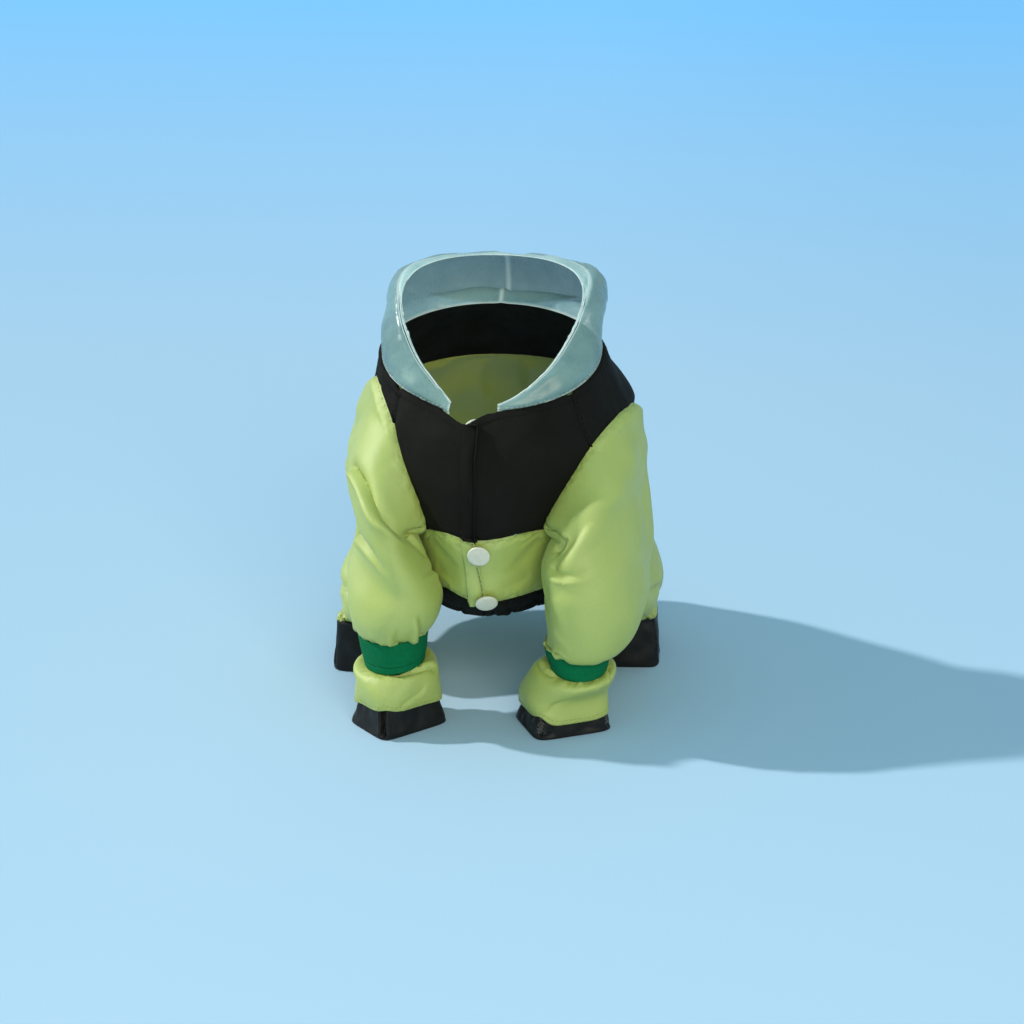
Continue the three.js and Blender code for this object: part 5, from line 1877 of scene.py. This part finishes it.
@dataclass
class HindLeg:
    """A hind leg: its first ring's outer half is sewn to the body, and its inner half is free."""

    BOW = 0.8  # how far the free half bows from a straight line towards the free edge's middle

    side: Side
    rings: Array
    free_edge: Array  # the middle of the free edge
    finish: Material
    sewing: Sewing

    def build(self) -> None:
        sewn = FORM.point(SEAMS[self.side].leg)
        t = np.linspace(0, 1, 9 * FINE + 1)[1:-1, None]
        straight = sewn[-1] + (sewn[0] - sewn[-1]) * t
        free = straight + (self.free_edge - straight) * self.BOW * np.sin(math.pi * t)
        turns = np.concatenate([np.linspace(0, 180, len(sewn)), 180 + 180 * t[:, 0]])
        boot = boot_of("hind", self.side)
        rim = boot.rim(turns_on_boot(boot, self.side, turns))
        hip = np.concatenate([sewn, free])
        stations = np.concatenate([hip[None], ring_points(self.rings, turns), rim[None]])
        cloth = tube(f"hind_leg_{self.side.word}", stations, turns, 64)
        cloth.borders = {"top": Border.SEWN, "bottom": Border.SEWN}
        seed = 180 + 10 * self.side.value
        cloth.lay(*HIND_FOLDS)
        gathers(cloth, turns, "bottom", 13, 0.8, 8, seed)
        cloth.crumple(seed + 1, 28, 0.5)
        cloth.pucker(seed + 2)
        self.sewing.beside(cloth, "lime_thread", top=STITCHED_SEAM, bottom=2.0)
        add_cloth(cloth, self.finish)


HIND_RINGS = {
    Side.LEFT: np.array([
        [99, 74, 66, 50, 80, 54, 26, 59, 76, 152, 54, 1],
        [102, 78, 54, 56, 84, 45, 28, 48, 80, 142, 43, 0.95],
        [100, 82, 44, 63, 85, 39, 42, 41, 83, 126, 38, 0.8],
        [98, 85, 38, 67, 86, 36, 54, 37, 83, 118, 36, 0.6],
    ]),
    Side.RIGHT: np.array([
        [-97, 68, 66, -50, 74, 54, 16, 59, -74, 150, 54, 1],
        [-99, 68, 52, -56, 72, 44, 12, 48, -79, 134, 43, 0.95],
        [-98, 64, 42, -64, 65, 38, 20, 40, -82, 110, 38, 0.8],
        [-96, 62, 37, -68, 63, 36, 30, 37, -82, 95, 36, 0.6],
    ]),
}
# Places are turn and along: along counts the seam on the body as 0 and the boot's rim as 5.
HIND_FOLDS = (
    Fold(((16, 0.3), (46, 1.2), (78, 1.9), (108, 2.2)), 5.0, 2.6, 0.45, 1, 0.5, (0.1, 0.5)),
    Fold(((164, 0.3), (140, 1.1), (114, 1.6)), 4.8, 2.2, 0.45, -1, 0.5, (0.1, 0.6)),
    Fold(((58, 4.8), (64, 3.9), (78, 3.0)), 3.8, 2.0, 0.45, 1, 0.5),
    Fold(((102, 4.8), (98, 4.0), (106, 3.0)), 3.8, 1.7, 0.45, -1, 0.5),
    Fold(((28, 4.8), (24, 3.8), (36, 2.8)), 3.6, 1.8, 0.45, 1, 0.5),
    Fold(((152, 4.8), (150, 3.8), (136, 2.9)), 3.8, 1.8, 0.45, -1, 0.5),
)
FREE_EDGES = {Side.LEFT: np.array([44.0, 92.0, 52.0]), Side.RIGHT: np.array([-44.0, 88.0, 52.0])}


# ---- hood


@dataclass
class Hood:
    """The film hood, pushed back: two halves and the casing round its brim."""

    # How the film rises from the neckline at each turn: four places as outwards and upwards from
    # the seam, the last one at the brim. At the back it hangs over as a pouch.
    RISE = np.array([
        # turn  out1 up1  out2 up2  out3 up3  brimOut brimUp
        [8, 0.5, 1, 0.5, 2, 0, 3, -0.5, 4],
        [35, 1, 4, -1, 8, -4, 13, -7, 14],
        [65, 0, 9, -4, 18, -8, 25, -12, 26],
        [95, 0, 10, -3, 21, -7, 30, -12, 32],
        [130, 6, 7.5, 18, 13, 12, 29, -6, 33],
        [180, 12, 6.5, 44, -11, 40, 18, 2, 30],
    ])
    FRONT = {Side.LEFT: 8.0, Side.RIGHT: -17.0}  # the turns at which the film starts
    BRIM_FROM = 0.86  # the rise at which the casing is sewn on
    HALF_STEPS = (130, 56)
    BRIM_STEPS = (260, 10)
    NECK_CENTRE = np.array([0.0, 25.0])
    HEART = np.array([0.0, 25.0, 235.0])

    finishes: Finishes
    sewing: Sewing

    def point(self, places: Array) -> Array:
        """Points of the hood at places given as turn and rise."""
        shape = places.shape[:-1]
        turn, rise = places.reshape(-1, 2).T
        past = turn % 360
        along = np.minimum(past, 360 - past)
        row = catmull(self.RISE, np.interp(along, self.RISE[:, 0], np.arange(len(self.RISE))))[:, 1:]
        path = np.concatenate([np.zeros((len(row), 2)), row], 1).reshape(-1, 5, 2)
        place = rise * 4
        start = np.clip(place.astype(int), 0, 3)
        t = (place - start)[:, None]
        pick = np.arange(len(row))
        out = between(*(path[pick, np.clip(start + step, 0, 4)] for step in (-1, 0, 1, 2)), t)
        folded = np.where(past > 180, past - 360, past)
        seam = FORM.point(np.stack([turn, neck_down(folded)], 1))
        way = unit(seam[:, :2] - self.NECK_CENTRE)
        points = seam.copy()
        points[:, :2] += way * (out[:, :1] - FILM - 0.3)
        points[:, 2] += out[:, 1] + 0.45
        return points.reshape(*shape, 3)

    def piece(
        self, name: str, span: tuple[float, float], rises: tuple[float, float], steps: tuple[int, int]
    ) -> Cloth:
        """A piece of the hood between two turns and two rises."""
        turns, rise = np.meshgrid(np.linspace(*span, steps[0] + 1), np.linspace(*rises, steps[1] + 1))
        points = drawn_in(self.point(np.stack([turns, rise], 2)), FILM / 2)
        cloth = Cloth(name, points, self.point, self.HEART, wall=FILM)
        cloth.borders = dict.fromkeys(("top", "bottom", "left", "right"), Border.SEWN)
        return cloth

    def build(self) -> None:
        left, right = self.FRONT[Side.LEFT], 360 + self.FRONT[Side.RIGHT]
        pieces = (
            self.piece("hood_left", (left, 180), (0, self.BRIM_FROM), self.HALF_STEPS),
            self.piece("hood_right", (180, right), (0, self.BRIM_FROM), self.HALF_STEPS),
            self.piece("hood_brim", (left, right), (self.BRIM_FROM, 1), self.BRIM_STEPS),
        )
        for number, cloth in enumerate(pieces):
            cloth.crumple(210 + number, 30, 0.7)
            cloth.crumple(220 + number, 11, 0.12)
            cloth.pucker(230 + number, dip=0.3, reach=1.8, height=0.2)
            if cloth.name == "hood_brim":
                finish = self.finishes.casing
            else:
                finish = self.finishes.film
                self.sewing.beside(cloth, "pale_thread", top=2.4)
            add_cloth(cloth, finish)


# ---- placket and snaps


@dataclass(frozen=True)
class Strip:
    """One strip of the placket: where it runs on the form, at its top and at its bottom."""

    name: str
    edge: tuple[float, float]  # turns of the free edge
    stitched: tuple[float, float]  # turns of the stitched edge
    down: tuple[float, float]
    sunk: float  # how far the stitched edge is drawn down into the panels
    seed: int


@dataclass
class Placket:
    """The lapped strip down the front: black on the yoke, lime on the belly."""

    YOKE = Strip("placket_yoke", (-9.2, -10.0), (-0.6, -0.8), (0.46, CHEST_SEAM_DOWN), 1.9, 240)
    BELLY = Strip(
        "placket_belly", (-11.5, -8.0), (-1.8, 6.4), (CHEST_SEAM_DOWN, LIME_END + 0.02), 1.6, 250
    )
    ACROSS, ALONG = 24, 110  # mesh steps
    SUNK_REACH = 6.0
    CURL = 1.6  # how far the free lower corner stands up
    CURL_REACH = 4.5

    finishes: Finishes
    sewing: Sewing

    def strip(self, size: Strip) -> Cloth:
        """Lays a strip of the placket on the panels.

        Args:
            size: Where it runs, and how far it is drawn in.

        Returns:
            The strip, with its free corner curled.
        """
        edge_top, edge_bottom = zip(size.edge, size.down)
        sewn_top, sewn_bottom = zip(size.stitched, size.down)
        places = patch(
            spread([edge_top, sewn_top], self.ACROSS),
            spread([edge_bottom, sewn_bottom], self.ACROSS),
            spread([edge_top, edge_bottom], self.ALONG),
            spread([sewn_top, sewn_bottom], self.ALONG),
        )
        points = drawn_in(FORM.lift(places, ON_PANEL), CLOTH / 2)
        cloth = Cloth(size.name, points, FORM.point, FORM.HEART)
        cloth.borders = {
            "left": Border.PLAIN, "right": Border.SEWN, "top": Border.PLAIN, "bottom": Border.PLAIN,
        }
        cloth.crumple(size.seed, 22, 0.2)
        to_stitches = cloth.to_border("right")
        cloth.push(-size.sunk * np.exp(-((to_stitches / self.SUNK_REACH) ** 2)))
        to_corner = np.hypot(cloth.to_border("left"), cloth.to_border("bottom"))
        cloth.push(self.CURL * np.exp(-((to_corner / self.CURL_REACH) ** 2)))
        return cloth

    def build(self) -> None:
        yoke = self.strip(self.YOKE)
        add_cloth(yoke, self.finishes.black)
        belly = self.strip(self.BELLY)
        self.sewing.beside(belly, "black_thread", right=0.7)
        add_cloth(belly, self.finishes.lime)


@dataclass(frozen=True)
class Snap:
    """A resin snap's cap: a shallow dome with a rounded rim."""

    # The rim's and the dome's profile, as shares of the radius and of the height.
    RIM = ((0.0, 0.0), (0.86, 0.0), (0.97, 0.12), (1.0, 0.35), (0.985, 0.58), (0.94, 0.74), (0.86, 0.84))
    DOME = ((0.74, 0.9), (0.6, 0.945), (0.45, 0.975), (0.3, 0.99), (0.15, 0.998), (0.0, 1.0))

    name: str
    turn: float
    down: float
    lift: float  # how high above the form its base is
    inside: bool = False  # whether it shows on the inner side
    radius: float = 6.7
    height: float = 2.2

    def build(self, finish: Material) -> None:
        """Turns the cap from its profile."""
        profile = [(share * self.radius, rise * self.height) for share, rise in self.RIM + self.DOME]
        place = np.array([[self.turn, self.down]])
        normal = FORM.normal(place)[0] * (-1 if self.inside else 1)
        base = FORM.point(place)[0] + normal * self.lift
        one = unit(np.cross(normal, [0.0, 0.0, 1.0]))
        two = np.cross(normal, one)
        around = np.linspace(0, 2 * math.pi, 64, endpoint=False)
        points = [base + normal * profile[0][1]]
        for radius, rise in profile[1:-1]:
            circle = np.cos(around)[:, None] * one + np.sin(around)[:, None] * two
            points.extend(base + normal * rise + circle * radius)
        points.append(base + normal * profile[-1][1])
        faces = turned_faces(len(profile) - 2, len(around), 1, 0, len(points) - 1)
        obj = mesh_object(f"{self.name}_cap", np.array(points), faces, finish)
        stand_for(obj, self.name)
        log.info("%s: cap %.1f mm across", self.name, 2 * self.radius)


SNAPS = (
    Snap("snap_neck", -3, 0.56, 0.5, inside=True),
    Snap("snap_belly", 0.8, 4.32, 3.4),
    Snap("snap_hem", 4.6, 6.05, 3.4),
)


# ---- studio


@dataclass(frozen=True)
class Lamp:
    """A light: its strength, its size (a sun's in degrees, else in metres), its colour and its place."""

    name: str
    kind: str
    energy: float
    size: float
    colour: Colour
    place: tuple[float, float, float]
    target: tuple[float, float, float]

    def build(self) -> None:
        """Adds the light, aimed at its target."""
        light = bpy.data.lights.new(self.name, self.kind)
        light.energy, light.color = self.energy, self.colour
        if self.kind == "SUN":
            light.angle = math.radians(self.size)
        else:
            light.size = self.size
        aim_object(new_object(self.name, light), self.place, self.target)


@dataclass(frozen=True)
class Studio:
    """A plain pale floor, a soft key from the wearer's right, a weak fill, and the camera."""

    azimuth: float = 6.0
    elevation: float = 20.0
    distance: float = 1.4507
    aim: tuple[float, float, float] = (0.015, -0.0856, -0.1036)
    lens: float = 85.0
    floor_reach: float = 9.0
    floor_near: Colour = (0.40, 0.56, 0.71)
    floor_far: Colour = (0.24, 0.56, 0.90)
    floor_fades: tuple[float, float] = (0.6, 2.8)  # from where to where it goes from near to far
    # painted shade: the floor darkens towards +X across this span, standing in for the key light's falloff
    floor_dulls: tuple[float, float] = (-0.15, 0.4)  # and grows duller across
    floor_dullest: Colour = (0.66, 0.78, 0.84)
    walls: Colour = (0.92, 0.96, 0.92)  # light from the room's sides
    ceiling: Colour = (0.42, 1.08, 1.42)  # and from above
    room: float = 0.5
    lamps: tuple[Lamp, ...] = (
        Lamp("key", "SUN", 2.9, 2.2, (1.0, 0.965, 0.92), (-2.2, 0.32, 1.7), (0.0, 0.0, 0.0)),
        Lamp("fill", "AREA", 42.0, 1.6, (1.0, 0.89, 0.66), (0.8, -2.4, 1.2), (0.0, 0.0, -0.1)),
    )

    def build(self) -> None:
        """Builds the floor, the lights and the camera."""
        self.add_floor()
        for lamp in self.lamps:
            lamp.build()
        self.light_room()
        self.add_camera()

    def add_floor(self) -> None:
        """A wide plain floor at the soles."""
        mesh = bpy.data.meshes.new("floor")
        signs = ((-1, -1), (1, -1), (1, 1), (-1, 1))
        corners = [(x * self.floor_reach, y * self.floor_reach, GROUND) for x, y in signs]
        mesh.from_pydata(corners, [], [(0, 1, 2, 3)])
        floor = new_object("floor", mesh)
        n = Nodes("floor_paper")
        coordinates = n.tree.nodes.new("ShaderNodeTexCoord")
        parts = n.tree.nodes.new("ShaderNodeSeparateXYZ")
        n.link(coordinates.outputs["Object"], parts.inputs[0])
        tone = n.blend(n.spread(parts.outputs[1], *self.floor_fades), self.floor_near, self.floor_far)
        # painted shade towards +X, standing in for the key light's falloff
        painted_falloff = n.spread(parts.outputs[0], *self.floor_dulls, (0.0, 0.3))
        tone = n.blend(painted_falloff, tone, n.blend(1.0, tone, self.floor_dullest, "MULTIPLY"))
        n.set(Base_Color=tone, Roughness=0.9, Specular_IOR_Level=0.1)
        n.bump((n.noise(300, 3, 0.6), 0.05))
        mesh.materials.append(n.material)

    def light_room(self) -> None:
        """The pale light that comes from all round."""
        world = bpy.data.worlds.new("room")
        world.use_nodes = True
        nodes, links = world.node_tree.nodes, world.node_tree.links
        background = nodes["Background"]
        background.inputs["Strength"].default_value = self.room
        way = nodes.new("ShaderNodeTexCoord")
        parts = nodes.new("ShaderNodeSeparateXYZ")
        links.new(way.outputs["Generated"], parts.inputs[0])
        tone = nodes.new("ShaderNodeMix")
        tone.data_type = "RGBA"
        links.new(parts.outputs[2], tone.inputs["Factor"])
        tone.inputs["A"].default_value = (*self.walls, 1.0)
        tone.inputs["B"].default_value = (*self.ceiling, 1.0)
        links.new(tone.outputs["Result"], background.inputs["Color"])
        bpy.context.scene.world = world
        bpy.context.scene.view_settings.view_transform = "Standard"

    def add_camera(self) -> None:
        """The camera, aimed at the coat's middle."""
        turn, rise = math.radians(self.azimuth), math.radians(self.elevation)
        level = math.cos(rise)
        way = Vector((math.sin(turn) * level, -math.cos(turn) * level, math.sin(rise)))
        data = bpy.data.cameras.new("camera")
        data.lens, data.sensor_width = self.lens, 36.0
        data.clip_start, data.clip_end = 0.05, 60.0
        camera = new_object("camera", data)
        aim_object(camera, Vector(self.aim) + way * self.distance, self.aim)
        bpy.context.scene.camera = camera


def aim_object(obj: bpy.types.Object, place: Sequence[float], target: Sequence[float]) -> None:
    """Puts a light or a camera at a place, looking at a target."""
    obj.location = place
    obj.rotation_euler = (Vector(target) - Vector(place)).to_track_quat("-Z", "Y").to_euler()


# ---- the coat


def main() -> None:
    """Builds the coat piece by piece around its frame."""
    logging.basicConfig(level=logging.INFO, format="%(message)s")
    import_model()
    Studio().build()
    finishes, sewing = Finishes(), Sewing()
    Body(finishes, sewing).build()
    for side in Side:
        cloth = (finishes.lime, sewing)
        Sleeve(side, SLEEVE_RINGS[side], SLEEVE_FOLDS[side], BAND_RINGS[side], *cloth).build()
        Band(side, BAND_RINGS[side], finishes.rib).build()
        Gaiter(side, GAITER_RINGS[side], GAITER_DROPS[side], GAITER_FOLDS[side], *cloth).build()
        HindLeg(side, HIND_RINGS[side], FREE_EDGES[side], *cloth).build()
    for boot in BOOTS:
        boot.build(finishes.boot)
    Hood(finishes, sewing).build()
    Placket(finishes, sewing).build()
    for snap in SNAPS:
        snap.build(finishes.snap)
    sewing.sew(finishes)


if __name__ == "__main__":
    main()
